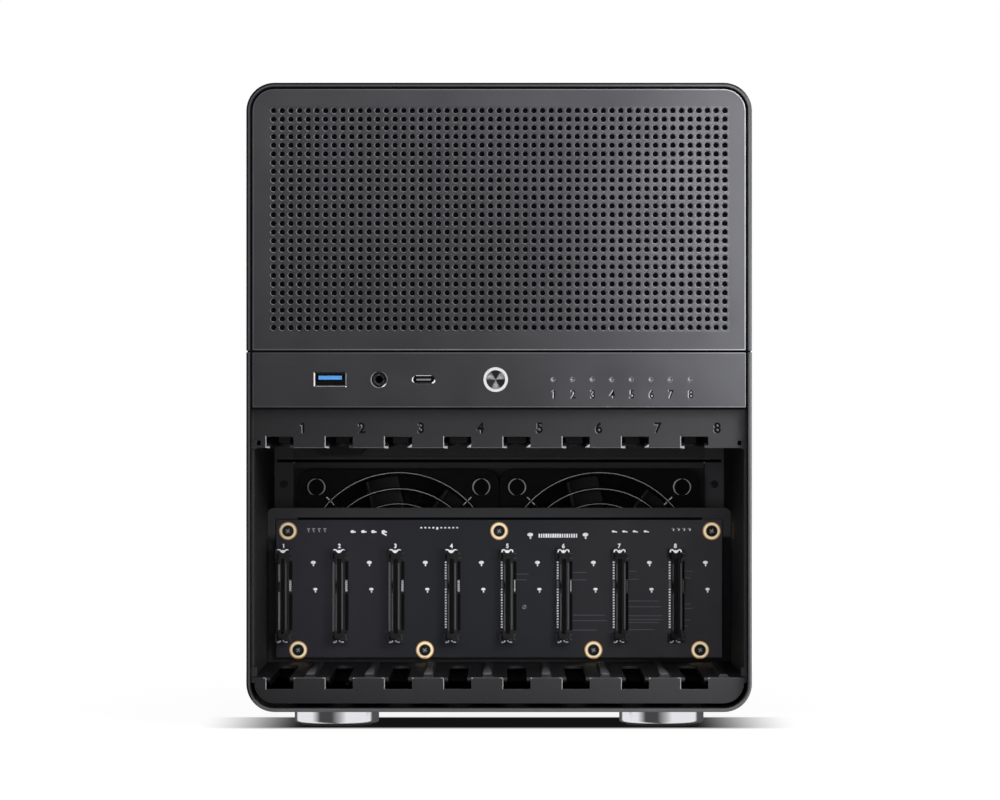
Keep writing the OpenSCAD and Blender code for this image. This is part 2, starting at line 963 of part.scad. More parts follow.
module tray_ribs() {
    for (i = [0:bay_count - 1])
        translate([bay_x(i) + rib_shift, 0, 0])
            along_y(flange_y + rib_front, flange_y + rib_front + rib_l)
                polygon([
                    [-rib_w / 2, bay_z - sheet_t / 2], [-rib_w / 2, bay_z],
                    [-rib_top_w / 2, bay_z + rib_h], [rib_top_w / 2, bay_z + rib_h],
                    [rib_w / 2, bay_z], [rib_w / 2, bay_z - sheet_t / 2]
                ]);
}

module lower_bay_tray() {
    color("#3c3c40")
    union() {
        tray_plate(bay_z - sheet_t, bay_z, lower_tray_back);
        along_y(flange_y, flange_back_y)
            difference() {
                intersection() {
                    plate_outline(
                        -side_x, side_x, floor_z + flange_gap, bay_top_z,
                        inner_r - flange_gap, 0
                    );
                    translate([-side_x, floor_z + flange_gap])
                        square([2 * side_x, bay_z - sheet_t - floor_z - flange_gap]);
                }
                for (i = [0:bay_count - 1])
                    translate([bay_x(i) - notch_w / 2, bay_z - notch_h])
                        square([notch_w, notch_h]);
            }
        tray_ribs();
    }
}

// Plastic guides on both sides of a slot, with a ramp at the front of the right one
module guide_pair() {
    for (s = [-1, 1])
        translate([s * (slot_w / 2 + guide_w / 2), 0, 0])
            along_x(-guide_w / 2, guide_w / 2)
                polygon([
                    [flange_back_y + guide_front, 0],
                    [flange_back_y + guide_front, guide_nose_h],
                    [flange_back_y + guide_front + guide_nose, guide_h],
                    [flange_back_y + guide_l, guide_h],
                    [flange_back_y + guide_l, 0]
                ]);
}

module upper_guide_rails() {
    color("#18181a")
    for (i = [0:bay_count - 1])
        translate([bay_x(i), 0, bay_top_z + sheet_t])
            guide_pair();
}

module lower_guide_rails() {
    color("#18181a")
    for (i = [0:bay_count - 1])
        translate([bay_x(i), 0, bay_z - sheet_t])
            mirror([0, 0, 1])
                guide_pair();
}

// Side walls of the drive cage, with a rear lip that the fan door and the rear wall rest on
module bay_side(left) {
    color("#28282a")
    mirror([left ? 1 : 0, 0, 0])
        difference() {
            union() {
                block(side_x, inner_x, flange_y, wall_y, floor_z + inner_r, deck_z);
                block(side_x - return_w, side_x, wall_y - sheet_t, wall_y, floor_z + inner_r, deck_z);
            }
            for (s = door_screw_z_shares)
                rod_y(
                    door_screw_x, door_z + s * door_h, thumb_bore_d,
                    wall_y - sheet_t - over, wall_y + over
                );
        }
}

// Catches of the bay cover, on the inside of the lower shell in front of the tray flanges
module cover_catches() {
    color("#8a8a8e")
    both_sides()
        for (z = [bay_top_z - catch_drop, bay_z + catch_rise])
            block(inner_x - catch_t, inner_x, flange_y - catch_w, flange_y, z, z + catch_h);
}

// Places of the backplane screws in the front view
module pad_places() {
    for (s = pad_top_x_shares)
        translate([s * board_w / 2, 0, board_top_z - pad_edge])
            children();
    for (s = pad_bottom_x_shares)
        translate([s * board_w / 2, 0, board_z + pad_foot])
            children();
}

module backplane_bracket() {
    color("#38383b")
    difference() {
        union() {
            along_y(bracket_y, bracket_back_y)
                difference() {
                    plate_outline(-side_x, side_x, bay_z, bracket_top_z, 0, bracket_r);
                    for (s = bracket_window_x_shares)
                        translate([s * board_w / 2, bracket_window_z])
                            square([bracket_window_w, bracket_window_h], center = true);
                }
            along_y(bracket_front_y, bracket_y)
                difference() {
                    plate_outline(
                        -side_x, side_x, bracket_top_z - bracket_ear_h, bracket_top_z, 0, bracket_r
                    );
                    plate_outline(
                        -side_x + bracket_ear_w, side_x - bracket_ear_w,
                        bracket_top_z - bracket_ear_h - over, bracket_top_z - bracket_rail_h, 0, 0
                    );
                }
            pad_places()
                rod_y(0, 0, boss_d, board_back_y, bracket_y);
        }
        pad_places()
            rod_y(0, 0, screw_d, board_back_y - over, bracket_back_y + over);
    }
}

module backplane_outline() {
    plate_outline(-board_w / 2, board_w / 2, board_z, board_top_z, 0, 0);
}

module backplane_board() {
    color("#202226")
    difference() {
        along_y(board_y, board_back_y)
            backplane_outline();
        pad_places()
            rod_y(0, 0, pad_hole_d, board_y - over, board_back_y + over);
    }
}

module backplane_pads() {
    color("#e0b768")
    intersection() {
        pad_places()
            along_y(board_y - pad_t, board_y)
                difference() {
                    circle(d = pad_d);
                    circle(d = pad_hole_d);
                }
        along_y(board_y - pad_t - over, board_y + over)
            backplane_outline();
    }
}

module backplane_screws() {
    color("#19191b")
    pad_places()
        difference() {
            union() {
                rod_y(0, 0, screw_head_d, board_y - pad_t - screw_head_t, board_y - pad_t);
                rod_y(0, 0, screw_d, board_y - pad_t, board_back_y + screw_reach);
            }
            translate([0, board_y - pad_t - screw_head_t + screw_recess, 0])
                rotate([90, 0, 0])
                    cylinder(h = screw_recess + over, d = screw_recess_d, $fn = 6);
        }
}

// Drive connector: a body with end towers, a deep blade slot between two rails and a bump on its right
module drive_connector() {
    difference() {
        union() {
            translate([conn_body_shift, 0, 0])
                plate_block(conn_body_w, conn_l - conn_end, conn_y, board_y);
            for (s = [-1, 1])
                translate([0, 0, s * (conn_l - conn_end) / 2])
                    plate_block(conn_w, conn_end, conn_y + conn_step, board_y);
        }
        translate([conn_slot_shift, 0, 0])
            plate_block(conn_slot_w, conn_l - 2 * conn_end, conn_y - over, conn_y + conn_slot_depth);
    }
    translate([conn_body_shift + conn_body_w / 2, 0, conn_bump_shift])
        block(
            0, conn_bump_w, conn_y + conn_step, board_y,
            -conn_bump_l / 2, conn_bump_l / 2
        );
}

module plate_block(w, l, y0, y1) {
    block(-w / 2, w / 2, y0, y1, -l / 2, l / 2);
}

module backplane_connectors() {
    color("#1b1b1e")
    for (i = [0:bay_count - 1])
        translate([conn_x(i), 0, conn_z])
            drive_connector();
}

// Cable sockets on the back of the backplane board, reached through the bracket windows
module backplane_data_ports() {
    color("#1b1b1e")
    for (s = bracket_window_x_shares, r = port_row_rise_shares)
        translate([s * board_w / 2, 0, bracket_window_z + r * bracket_window_h])
            difference() {
                block(-port_w / 2, port_w / 2, board_back_y, board_back_y + port_l, -port_t / 2, port_t / 2);
                block(
                    -port_slot_w / 2, port_slot_w / 2,
                    board_back_y + port_l - port_slot_depth, board_back_y + port_l + over,
                    -port_slot_t / 2, port_slot_t / 2
                );
            }
}

module backplane_power_ports() {
    color("#e8e6dc")
    for (s = [bracket_window_x_shares[0], bracket_window_x_shares[3]])
        translate([s * board_w / 2, 0, bracket_window_z + power_rise_share * bracket_window_h])
            difference() {
                block(
                    -power_w / 2, power_w / 2, board_back_y, board_back_y + power_l,
                    -power_t / 2, power_t / 2
                );
                for (k = power_pin_shares)
                    rod_y(
                        k * power_pin_pitch, 0, power_pin_d,
                        board_back_y + power_l - port_slot_depth, board_back_y + power_l + over
                    );
            }
}

// Fans
module at_fan(left) {
    translate([side_sign(left) * fan_pitch / 2, 0, fan_z])
        children();
}

module fan_corners() {
    for (x = [-1, 1], z = [-1, 1])
        translate([x * fan_hole_pitch / 2, 0, z * fan_hole_pitch / 2])
            children();
}

module fan_square() {
    plate_outline(
        -fan_size / 2, fan_size / 2, -fan_size / 2, fan_size / 2, fan_corner_r, fan_corner_r
    );
}

module fan_frame(left) {
    seat_y = wall_y - fan_seat_t;
    color("#141415")
    at_fan(left)
        difference() {
            union() {
                difference() {
                    union() {
                        for (y = [fan_y, wall_y - fan_flange_t])
                            along_y(y, y + fan_flange_t)
                                fan_square();
                        rod_y(0, 0, fan_bore_d + 2 * fan_duct_t, fan_y, wall_y);
                    }
                    rod_y(0, 0, fan_bore_d, fan_y - over, wall_y + over);
                }
                rod_y(0, 0, hub_d, seat_y, wall_y);
                for (a = [45, 135])
                    rotate([0, a, 0])
                        block(
                            -fan_bore_d / 2 - fan_duct_t / 2, fan_bore_d / 2 + fan_duct_t / 2,
                            wall_y - fan_strut_t, wall_y, -fan_strut_w / 2, fan_strut_w / 2
                        );
            }
            rod_y(0, 0, shaft_d + 2 * run_gap, seat_y - over, wall_y - fan_duct_t / 2);
            fan_corners()
                rod_y(0, 0, fan_hole_d, fan_y - over, wall_y + over);
        }
}

// Curved blade: a slice of a thin tube that lies along the radius, turned to its pitch
module fan_blade() {
    root_r = hub_d / 2 - blade_root;
    translate([root_r, fan_y + rotor_front + hub_l / 2, 0])
        rotate([0, 90, 0])
            rotate([0, 0, blade_angle])
                translate([0, -blade_camber_r, 0])
                    linear_extrude(fan_bore_d / 2 - root_r)
                        intersection() {
                            difference() {
                                circle(r = blade_camber_r + blade_t / 2, $fn = fine_sides);
                                circle(r = blade_camber_r - blade_t / 2, $fn = fine_sides);
                            }
                            translate([-blade_l / 2, blade_camber_r / 2])
                                square([blade_l, blade_camber_r]);
                        }
}

module fan_rotor(left) {
    color("#1c1c1e")
    at_fan(left)
        union() {
            rod_y(0, 0, hub_d, fan_y + rotor_front, fan_y + rotor_front + hub_l);
            rod_y(
                0, 0, shaft_d, fan_y + rotor_front + hub_l,
                wall_y - fan_duct_t / 2 - play
            );
            intersection() {
                rod_y(
                    0, 0, fan_bore_d - 2 * rotor_gap,
                    fan_y + rotor_front, fan_y + rotor_front + hub_l
                );
                for (k = [0:blade_count - 1])
                    rotate([0, k * 360 / blade_count, 0])
                        fan_blade();
            }
        }
}

module wire_ring(r) {
    rotate([90, 0, 0])
        rotate_extrude($fn = fine_sides)
            translate([r, 0])
                circle(d = wire_d, $fn = hole_sides);
}

module fan_guard(left) {
    strut_l = fan_hole_pitch * diagonal_share - 2 * guard_loop_r;
    strut_y = fan_y - wire_d / 2;
    ring_y = strut_y - wire_d + guard_weld;
    color("#0e0e0f")
    at_fan(left)
        union() {
            translate([0, ring_y, 0])
                for (s = guard_ring_shares)
                    wire_ring(s * fan_size / 2);
            for (a = [45, 135])
                translate([0, strut_y, 0])
                    rotate([0, a, 0])
                        translate([-strut_l / 2, 0, 0])
                            rotate([0, 90, 0])
                                cylinder(h = strut_l, d = wire_d, $fn = hole_sides);
            translate([0, strut_y, 0])
                fan_corners()
                    wire_ring(guard_loop_r);
        }
}

module guard_screws() {
    color("#101011")
    for (left = [true, false])
        at_fan(left)
            fan_corners() {
                rod_y(
                    0, 0, guard_screw_head_d,
                    fan_y - wire_d - guard_screw_head_t, fan_y - wire_d
                );
                rod_y(0, 0, guard_screw_d, fan_y - wire_d, fan_y + guard_screw_reach);
            }
}

module fan_screws() {
    color("#101011")
    for (left = [true, false])
        at_fan(left)
            fan_corners() {
                rod_y(0, 0, fan_screw_head_d, wall_back_y, wall_back_y + fan_screw_head_t);
                rod_y(0, 0, guard_screw_d, wall_y - fan_screw_reach, wall_back_y);
            }
}

// Perforated door in the lower rear that carries both fans
module door_mesh() {
    for (j = [-door_mesh_count:door_mesh_count])
        for (i = [-door_mesh_count:door_mesh_count]) {
            x = (i + (j % 2 == 0 ? 0 : 0.5)) * door_mesh_pitch;
            z = j * door_mesh_row_share * door_mesh_pitch;
            if (norm([x, z]) < (fan_bore_d - door_mesh_hole_d) / 2)
                translate([x, z])
                    circle(d = door_mesh_hole_d, $fn = hole_sides);
        }
}

module fan_door() {
    color("#3a3a3d")
    difference() {
        along_y(wall_y, wall_back_y)
            difference() {
                plate_outline(-door_x, door_x, door_z, door_top_z, door_r, 0);
                for (x = [-fan_pitch / 2, fan_pitch / 2])
                    translate([x, fan_z])
                        door_mesh();
            }
        for (left = [true, false])
            at_fan(left)
                fan_corners()
                    rod_y(0, 0, fan_hole_d, wall_y - over, wall_back_y + over);
        both_sides()
            for (s = door_screw_z_shares)
                rod_y(door_screw_x, door_z + s * door_h, thumb_shank_d, wall_y - over, wall_back_y + over);
    }
}

// Round filters on the outside of the door, each a cloth in a ring
module fan_door_filters() {
    color("#1b1b1c")
    for (left = [true, false])
        at_fan(left) {
            rod_y(0, 0, fan_bore_d, wall_back_y, wall_back_y + filter_t);
            difference() {
                rod_y(0, 0, fan_bore_d + 2 * filter_ring_w, wall_back_y, wall_back_y + filter_ring_t);
                rod_y(0, 0, fan_bore_d, wall_back_y - over, wall_back_y + filter_ring_t + over);
            }
        }
}

// Thumbscrew with a stepped, grooved head, its seat at the given plane
module thumbscrew(seat_y, tip_y) {
    step_l = (rear_y - seat_y) * thumb_step_share;
    slot_w = thumb_d * thumb_slot_w_share;
    slot_l = thumb_d * thumb_slot_l_share;
    rod_y(0, 0, thumb_shank_d, tip_y, seat_y);
    rod_y(0, 0, thumb_d * thumb_neck_share, seat_y, seat_y + step_l);
    difference() {
        rod_y(0, 0, thumb_d, seat_y + step_l, rear_y);
        for (k = [0:thumb_grooves - 1])
            rotate([0, k * 360 / thumb_grooves, 0])
                rod_y(thumb_d / 2, 0, thumb_d * thumb_groove_share, seat_y, rear_y + over);
        block(-slot_l / 2, slot_l / 2, rear_y - step_l, rear_y + over, -slot_w / 2, slot_w / 2);
    }
}

module fan_door_thumbscrews() {
    color("#2a2a2c")
    for (x = [-door_screw_x, door_screw_x], s = door_screw_z_shares)
        translate([x, 0, door_z + s * door_h])
            thumbscrew(wall_back_y, wall_y - sheet_t - thumb_reach);
}

module shell_thumbscrews() {
    color("#2a2a2c")
    for (x = [-tab_screw_x, tab_screw_x], s = [-1, 1])
        translate([x, 0, tab_z + s * tab_screw_rise])
            thumbscrew(tab_y + sheet_t, wall_y - thumb_reach);
}

// Ring slots of an exhaust fan place, with four webs
module exhaust_grille() {
    difference() {
        for (s = exhaust_ring_shares)
            difference() {
                circle(r = s * exhaust_size / 2);
                circle(r = s * exhaust_size / 2 - exhaust_ring_w);
            }
        for (a = [45, 135])
            rotate(a)
                square([exhaust_size, exhaust_web_w], center = true);
    }
    for (x = [-1, 1], z = [-1, 1])
        translate([x * exhaust_hole_pitch / 2, z * exhaust_hole_pitch / 2])
            circle(d = exhaust_hole_d);
}

module pci_places() {
    for (k = [0:pci_count - 1])
        translate([pci_x - k * slot_pitch, 0, pci_z])
            children();
}

module inlet_outline(w, h) {
    polygon([
        [-w / 2, h / 2], [w / 2, h / 2], [w / 2, -h / 2 + inlet_corner],
        [w / 2 - inlet_corner, -h / 2], [-w / 2 + inlet_corner, -h / 2], [-w / 2, -h / 2 + inlet_corner]
    ]);
}

module rear_plate() {
    color("#3a3a3d")
    difference() {
        union() {
            rear_sheet();
            // Lip that the upper edge of the fan door closes against
            block(-lip_x, lip_x, wall_y - sheet_t, wall_y, lip_z, rear_z + lip_lap);
        }
        pci_places() {
            block(-pci_w / 2, pci_w / 2, wall_y - over, wall_back_y + over, 0, pci_h);
            rod_y(0, cover_h - cover_screw_drop, rear_screw_d, wall_y - over, wall_back_y + over);
        }
        both_sides()
            for (s = [-1, 1])
                rod_y(tab_screw_x, tab_z + s * tab_screw_rise, thumb_bore_d, wall_y - over, wall_back_y + over);
    }
}

module rear_sheet() {
    along_y(wall_y, wall_back_y)
        difference() {
            plate_outline(-frame_x, frame_x, rear_z, rear_top_z, 0, frame_r);
            translate([shield_x - shield_w / 2, shield_z])
                square([shield_w, shield_h]);
            for (s = [-1, 1])
                translate([exhaust_x + s * exhaust_pitch / 2, exhaust_z])
                    exhaust_grille();
            translate([-inlet_x, inlet_z])
                inlet_outline(inlet_w + 2 * fit_gap, inlet_h + 2 * fit_gap);
            for (s = [-1, 1])
                translate([s * inlet_screw_pitch / 2 - inlet_x, inlet_z])
                    circle(d = inlet_screw_d);
        }
}

module slot_covers() {
    color("#47474b")
    pci_places()
        difference() {
            block(
                -cover_w / 2, cover_w / 2, wall_back_y, wall_back_y + cover_t,
                -cover_lap, cover_h
            );
            rod_y(
                0, cover_h - cover_screw_drop, rear_screw_d,
                wall_back_y - over, wall_back_y + cover_t + over
            );
            for (k = [cover_vent_first:cover_vent_first + cover_vent_count - 1])
                block(
                    -cover_vent_l / 2, cover_vent_l / 2, wall_back_y - over, wall_back_y + cover_t + over,
                    k * cover_vent_pitch, k * cover_vent_pitch + cover_vent_w
                );
        }
}

// Screws of the slot covers and of the mains inlet
module rear_screw(seat_y) {
    rod_y(0, 0, rear_screw_head_d, seat_y, seat_y + rear_screw_head_t);
    rod_y(0, 0, rear_screw_d, wall_y - thumb_reach, seat_y);
}

module rear_screws() {
    color("silver") {
        pci_places()
            translate([0, 0, cover_h - cover_screw_drop])
                rear_screw(wall_back_y + cover_t);
        for (s = [-1, 1])
            translate([s * inlet_screw_pitch / 2 - inlet_x, 0, inlet_z])
                rear_screw(wall_back_y + inlet_flange_t);
    }
}

module ac_inlet() {
    color("#161618")
    translate([-inlet_x, 0, inlet_z]) {
        difference() {
            union() {
                along_y(wall_back_y, wall_back_y + inlet_flange_t)
                    difference() {
                        square([inlet_flange_w, inlet_flange_h], center = true);
                        for (s = [-1, 1])
                            translate([s * inlet_screw_pitch / 2, 0])
                                circle(d = inlet_screw_d);
                    }
                along_y(wall_back_y - inlet_l, wall_back_y)
                    inlet_outline(inlet_w, inlet_h);
            }
            along_y(wall_back_y - inlet_l + inlet_wall, wall_back_y + inlet_flange_t + over)
                inlet_outline(inlet_w - 2 * inlet_wall, inlet_h - 2 * inlet_wall);
        }
        for (k = [-1, 0, 1])
            translate([k * inlet_pin_pitch, 0, k == 0 ? inlet_pin_drop : -inlet_pin_drop])
                block(
                    -inlet_pin_w / 2, inlet_pin_w / 2,
                    wall_back_y - inlet_l + inlet_wall, wall_back_y - inlet_l + inlet_wall + inlet_pin_l,
                    -inlet_pin_t / 2, inlet_pin_t / 2
                );
    }
}

// Upright plate for a compact power supply, with a foot on the deck
module psu_bracket() {
    color("#2c2c2e")
    translate([psu_x, 0, 0]) {
        along_x(0, sheet_t)
            difference() {
                plate_outline(psu_y, psu_y + psu_w, deck_top_z, psu_z + psu_l / 2, 0, psu_window_r);
                // Notch that leaves room for the front frame and the port board
                translate([psu_y - over, deck_top_z - over])
                    square([psu_notch_y - psu_y + over, psu_notch_z - deck_top_z + over]);
                translate([psu_y + psu_w / 2, psu_z]) {
                    plate_outline(
                        -psu_w / 2 + psu_edge, psu_w / 2 - psu_edge,
                        -psu_l / 2 + psu_edge, psu_l / 2 - psu_edge, psu_window_r, psu_window_r
                    );
                    for (y = [-1, 1], z = [-1, 1])
                        translate([y * psu_hole_w / 2, z * psu_hole_l / 2])
                            circle(d = psu_hole_d);
                }
            }
        block(sheet_t, psu_foot, psu_notch_y, psu_y + psu_w, deck_top_z, deck_top_z + sheet_t);
    }
}

// Motherboard deck and standoffs
module itx_places() {
    translate([itx_shift, itx_y, 0]) {
        translate([itx_hole_w / 2, itx_hole_l / 2 - itx_hole_shift, 0])
            children();
        translate([-itx_hole_w / 2, itx_hole_short_l - itx_hole_l / 2 - itx_hole_shift, 0])
            children();
        for (s = [-1, 1])
            translate([s * itx_hole_w / 2, -itx_hole_l / 2 - itx_hole_shift, 0])
                children();
    }
}

module motherboard_deck() {
    color("#303033")
    along_z(deck_z, deck_top_z)
        difference() {
            translate([-inner_x, flange_y])
                square([2 * inner_x, wall_y - flange_y]);
            translate([-deck_slot_x, itx_y])
                square([deck_slot_w, deck_slot_l], center = true);
            itx_places()
                circle(d = standoff_bore_d);
        }
}

module motherboard_standoffs() {
    color("#c9a85c")
    itx_places()
        along_z(deck_top_z, deck_top_z + standoff_h)
            difference() {
                circle(d = standoff_d);
                circle(d = standoff_bore_d);
            }
}

// Feet
module foot(x_sign, y) {
    color("#d9dadd")
    translate([x_sign * foot_x, y, 0])
        rotate_extrude($fn = fine_sides)
            difference() {
                union() {
                    translate([0, foot_pad_sink])
                        square([foot_d / 2 - foot_edge_r, foot_h - foot_pad_sink]);
                    translate([0, foot_pad_sink + foot_edge_r])
                        square([foot_d / 2, foot_h - foot_pad_sink - foot_edge_r]);
                    translate([foot_d / 2 - foot_edge_r, foot_pad_sink + foot_edge_r])
                        circle(r = foot_edge_r);
                }
                square([foot_pad_d / 2, foot_pad_t]);
                square([foot_recess_d / 2, foot_pad_t + foot_recess]);
                square([foot_bore_d / 2, foot_h + over]);
            }
}

module foot_pads() {
    color("#1a1a1b")
    feet_places()
        along_z(0, foot_pad_t)
            difference() {
                circle(d = foot_pad_d);
                circle(d = foot_recess_d);
            }
}

module foot_screws() {
    head_z = foot_pad_t + foot_recess - foot_screw_head_t;
    color("silver")
    feet_places() {
        translate([0, 0, head_z])
            cylinder(h = foot_screw_head_t, d = foot_screw_head_d);
        translate([0, 0, head_z + foot_screw_head_t])
            cylinder(h = floor_z + foot_screw_reach - head_z - foot_screw_head_t, d = foot_screw_d);
    }
}

lower_shell();
upper_shell();
side_mesh(true);  // side_mesh_left
side_mesh(false);  // side_mesh_right
front_mesh_panel();
front_frame();
front_filter();
top_rails();
io_strip();
io_board();
io_board_spacers();
usb_a_shell();
usb_a_tongue();
audio_jack();
usb_c_shell();
usb_c_tongue();
power_button_ring();
power_button();
power_switch();
led_light_pipes();
status_leds();
upper_bay_tray();
lower_bay_tray();
upper_guide_rails();
lower_guide_rails();
bay_side(true);  // bay_side_left
bay_side(false);  // bay_side_right
cover_catches();
backplane_bracket();
backplane_board();
backplane_connectors();
backplane_pads();
backplane_screws();
backplane_data_ports();
backplane_power_ports();
fan_frame(true);  // fan_left_frame
fan_frame(false);  // fan_right_frame
fan_rotor(true);  // fan_left_rotor
fan_rotor(false);  // fan_right_rotor
fan_guard(true);  // fan_left_guard
fan_guard(false);  // fan_right_guard
guard_screws();
fan_screws();
fan_door();
fan_door_filters();
fan_door_thumbscrews();
rear_plate();
slot_covers();
rear_screws();
ac_inlet();
psu_bracket();
motherboard_deck();
motherboard_standoffs();
shell_thumbscrews();
foot(-1, front_y + foot_y);  // foot_front_left
foot(1, front_y + foot_y);  // foot_front_right
foot(-1, rear_y - foot_y);  // foot_rear_left
foot(1, rear_y - foot_y);  // foot_rear_right
foot_pads();
foot_screws();
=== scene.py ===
"""Storage server case with eight open drive bays, dressed over its solid model."""

import math
import random

import bmesh
import bpy
from mathutils import Matrix, Vector


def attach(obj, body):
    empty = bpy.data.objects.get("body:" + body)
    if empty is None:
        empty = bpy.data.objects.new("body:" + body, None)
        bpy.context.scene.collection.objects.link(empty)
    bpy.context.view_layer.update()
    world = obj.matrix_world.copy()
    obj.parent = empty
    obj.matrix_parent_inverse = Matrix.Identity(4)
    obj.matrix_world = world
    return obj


MM = 0.001

# Camera: straight ahead, level with the port strip
camera_data = bpy.data.cameras.new("camera")
camera_data.sensor_fit = "HORIZONTAL"
camera_data.sensor_width = 36.0
camera_data.lens = 208.6
camera_data.clip_end = 50.0
camera = bpy.data.objects.new("camera", camera_data)
camera.location = (0.0004, -2.801, 0.1518)
camera.rotation_euler = (math.radians(90), 0, 0)
bpy.context.scene.collection.objects.link(camera)
bpy.context.scene.camera = camera
bpy.context.scene.view_settings.view_transform = "Standard"

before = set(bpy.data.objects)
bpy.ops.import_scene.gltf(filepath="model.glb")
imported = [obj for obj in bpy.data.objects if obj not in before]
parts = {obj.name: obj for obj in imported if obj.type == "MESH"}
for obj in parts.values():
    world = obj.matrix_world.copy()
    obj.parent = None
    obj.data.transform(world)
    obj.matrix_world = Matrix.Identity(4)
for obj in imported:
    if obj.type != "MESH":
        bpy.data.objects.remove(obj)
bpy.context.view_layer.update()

# Places on the case, in millimetres
PANEL_Y = -130.0
FLANGE_Y = -121.0
BOARD_Y = 34.8
TOWER_Y = 27.4
CONNECTOR_Y = 26.0
GUARD_Y = 96.2
PORT_Z = 161.2
BUTTON_X = -1.6
JACK_X = -55.3
USB_A_X = -77.9
USB_C_X = -34.8
LED_X = 24.75
LED_PITCH = 9.02
FAN_X = 50.2
FAN_Z = 67.0
BAY_PITCH = 27.4
SLOTS = [-101.4 + BAY_PITCH * i for i in range(8)]
NOTCH = 6.325
STRIP_NUMBER_Z = 154.45
CONNECTOR_SHIFT = -4.2
BOARD_HALF = 109.1
PAD_Y = 34.52
SCREW_Y = 33.0
UPPER_SCREW_Z = 87.7
LOWER_SCREW_Z = 29.5
PANEL_HALF = 113.8
GUARD_R = 50.0
FAN_HOLE = 41.25
SEAM_Y = 122.5
SOLDER_PITCH = 27.42
RIB_TOP_Z = 24.62

# The rim of the shells: a rounded rectangle whose middle lies at RIM_Z, in metres
RIM_Z = 0.153
RIM_FLAT_X = 0.1035
RIM_FLAT_Z = 0.132
RIM_R = 0.011

# The hole field of the mesh panel, in metres
HOLE_PITCH = 0.004
HOLE_COLUMNS = 53
HOLE_ROWS = 26
LOWEST_HOLE_Z = 0.1746 + 0.0106

# Thread spacing of the filter cloth, and the lower edge of the bracket's ears, in metres
THREAD = 0.0008
EARS_Z = 0.085


# Materials

def linear(r, g, b):
    def one(c):
        c /= 255.0
        return c / 12.92 if c <= 0.04045 else ((c + 0.055) / 1.055) ** 2.4
    return (one(r), one(g), one(b), 1.0)


def grey(level, blue=2):
    return linear(level, level, level + blue)


def scaled(color, k):
    return (min(color[0] * k, 1.0), min(color[1] * k, 1.0), min(color[2] * k, 1.0), 1.0)


class Graph:
    """A material's node tree, with short calls for the nodes it uses."""

    def __init__(self, name):
        self.material = bpy.data.materials.new(name)
        self.material.use_nodes = True
        self.tree = self.material.node_tree
        self.shader = self.tree.nodes["Principled BSDF"]
        self.output = self.tree.nodes["Material Output"]
        self.place = self.tree.nodes.new("ShaderNodeTexCoord").outputs["Object"]

    def add(self, kind, **settings):
        node = self.tree.nodes.new("ShaderNode" + kind)
        for key, value in settings.items():
            setattr(node, key, value)
        return node

    def put(self, socket, value):
        if hasattr(value, "is_output"):
            self.tree.links.new(value, socket)
        else:
            socket.default_value = value

    def math(self, operation, a, b=0.0):
        node = self.add("Math", operation=operation)
        for socket, value in zip(node.inputs, (a, b)):
            self.put(socket, value)
        return node.outputs[0]

    def noise(self, scale, detail=2.0, stretch=None):
        node = self.add("TexNoise")
        vector = self.place
        if stretch:
            mapping = self.add("Mapping")
            self.put(mapping.inputs["Vector"], self.place)
            mapping.inputs["Scale"].default_value = stretch
            vector = mapping.outputs[0]
        self.put(node.inputs["Vector"], vector)
        node.inputs["Scale"].default_value = scale
        node.inputs["Detail"].default_value = detail
        return node.outputs["Fac"]

    def span(self, value, low, high, to_low=0.0, to_high=1.0, smooth=False):
        node = self.add("MapRange", interpolation_type="SMOOTHSTEP" if smooth else "LINEAR")
        for key, number in (("Value", value), ("From Min", low), ("From Max", high),
                            ("To Min", to_low), ("To Max", to_high)):
            self.put(node.inputs[key], number)
        return node.outputs["Result"]

    def mix(self, factor, a, b):
        node = self.add("Mix", data_type="RGBA")
        self.put(node.inputs[0], factor)
        self.put(node.inputs[6], a)
        self.put(node.inputs[7], b)
        return node.outputs[2]

    def axes(self, vector=None):
        node = self.add("SeparateXYZ")
        self.put(node.inputs[0], vector or self.place)
        return node.outputs

    def blob(self, u, v, cu, cv, ru, rv, soft=0.35):
        """Soft-edged ellipse in two coordinates, 1 inside."""
        du = self.math("DIVIDE", self.math("SUBTRACT", u, cu), ru)
        dv = self.math("DIVIDE", self.math("SUBTRACT", v, cv), rv)
        square = self.math("ADD", self.math("MULTIPLY", du, du), self.math("MULTIPLY", dv, dv))
        return self.span(self.math("SQRT", square), 1.0 - soft, 1.0 + soft, 1.0, 0.0, smooth=True)

    def bump(self, height, distance, normal=None):
        node = self.add("Bump")
        node.inputs["Distance"].default_value = distance
        self.put(node.inputs["Height"], height)
        if normal is not None:
            self.put(node.inputs["Normal"], normal)
        return node.outputs["Normal"]

    def edges(self, radius):
        """Rounded normal, and how much a point lies on an edge of that radius."""
        bevel = self.add("Bevel", samples=4)
        bevel.inputs["Radius"].default_value = radius
        dot = self.add("VectorMath", operation="DOT_PRODUCT")
        self.put(dot.inputs[0], bevel.outputs[0])
        self.put(dot.inputs[1], self.add("NewGeometry").outputs["Normal"])
        return bevel.outputs[0], self.span(dot.outputs["Value"], 0.99, 0.8, smooth=True)


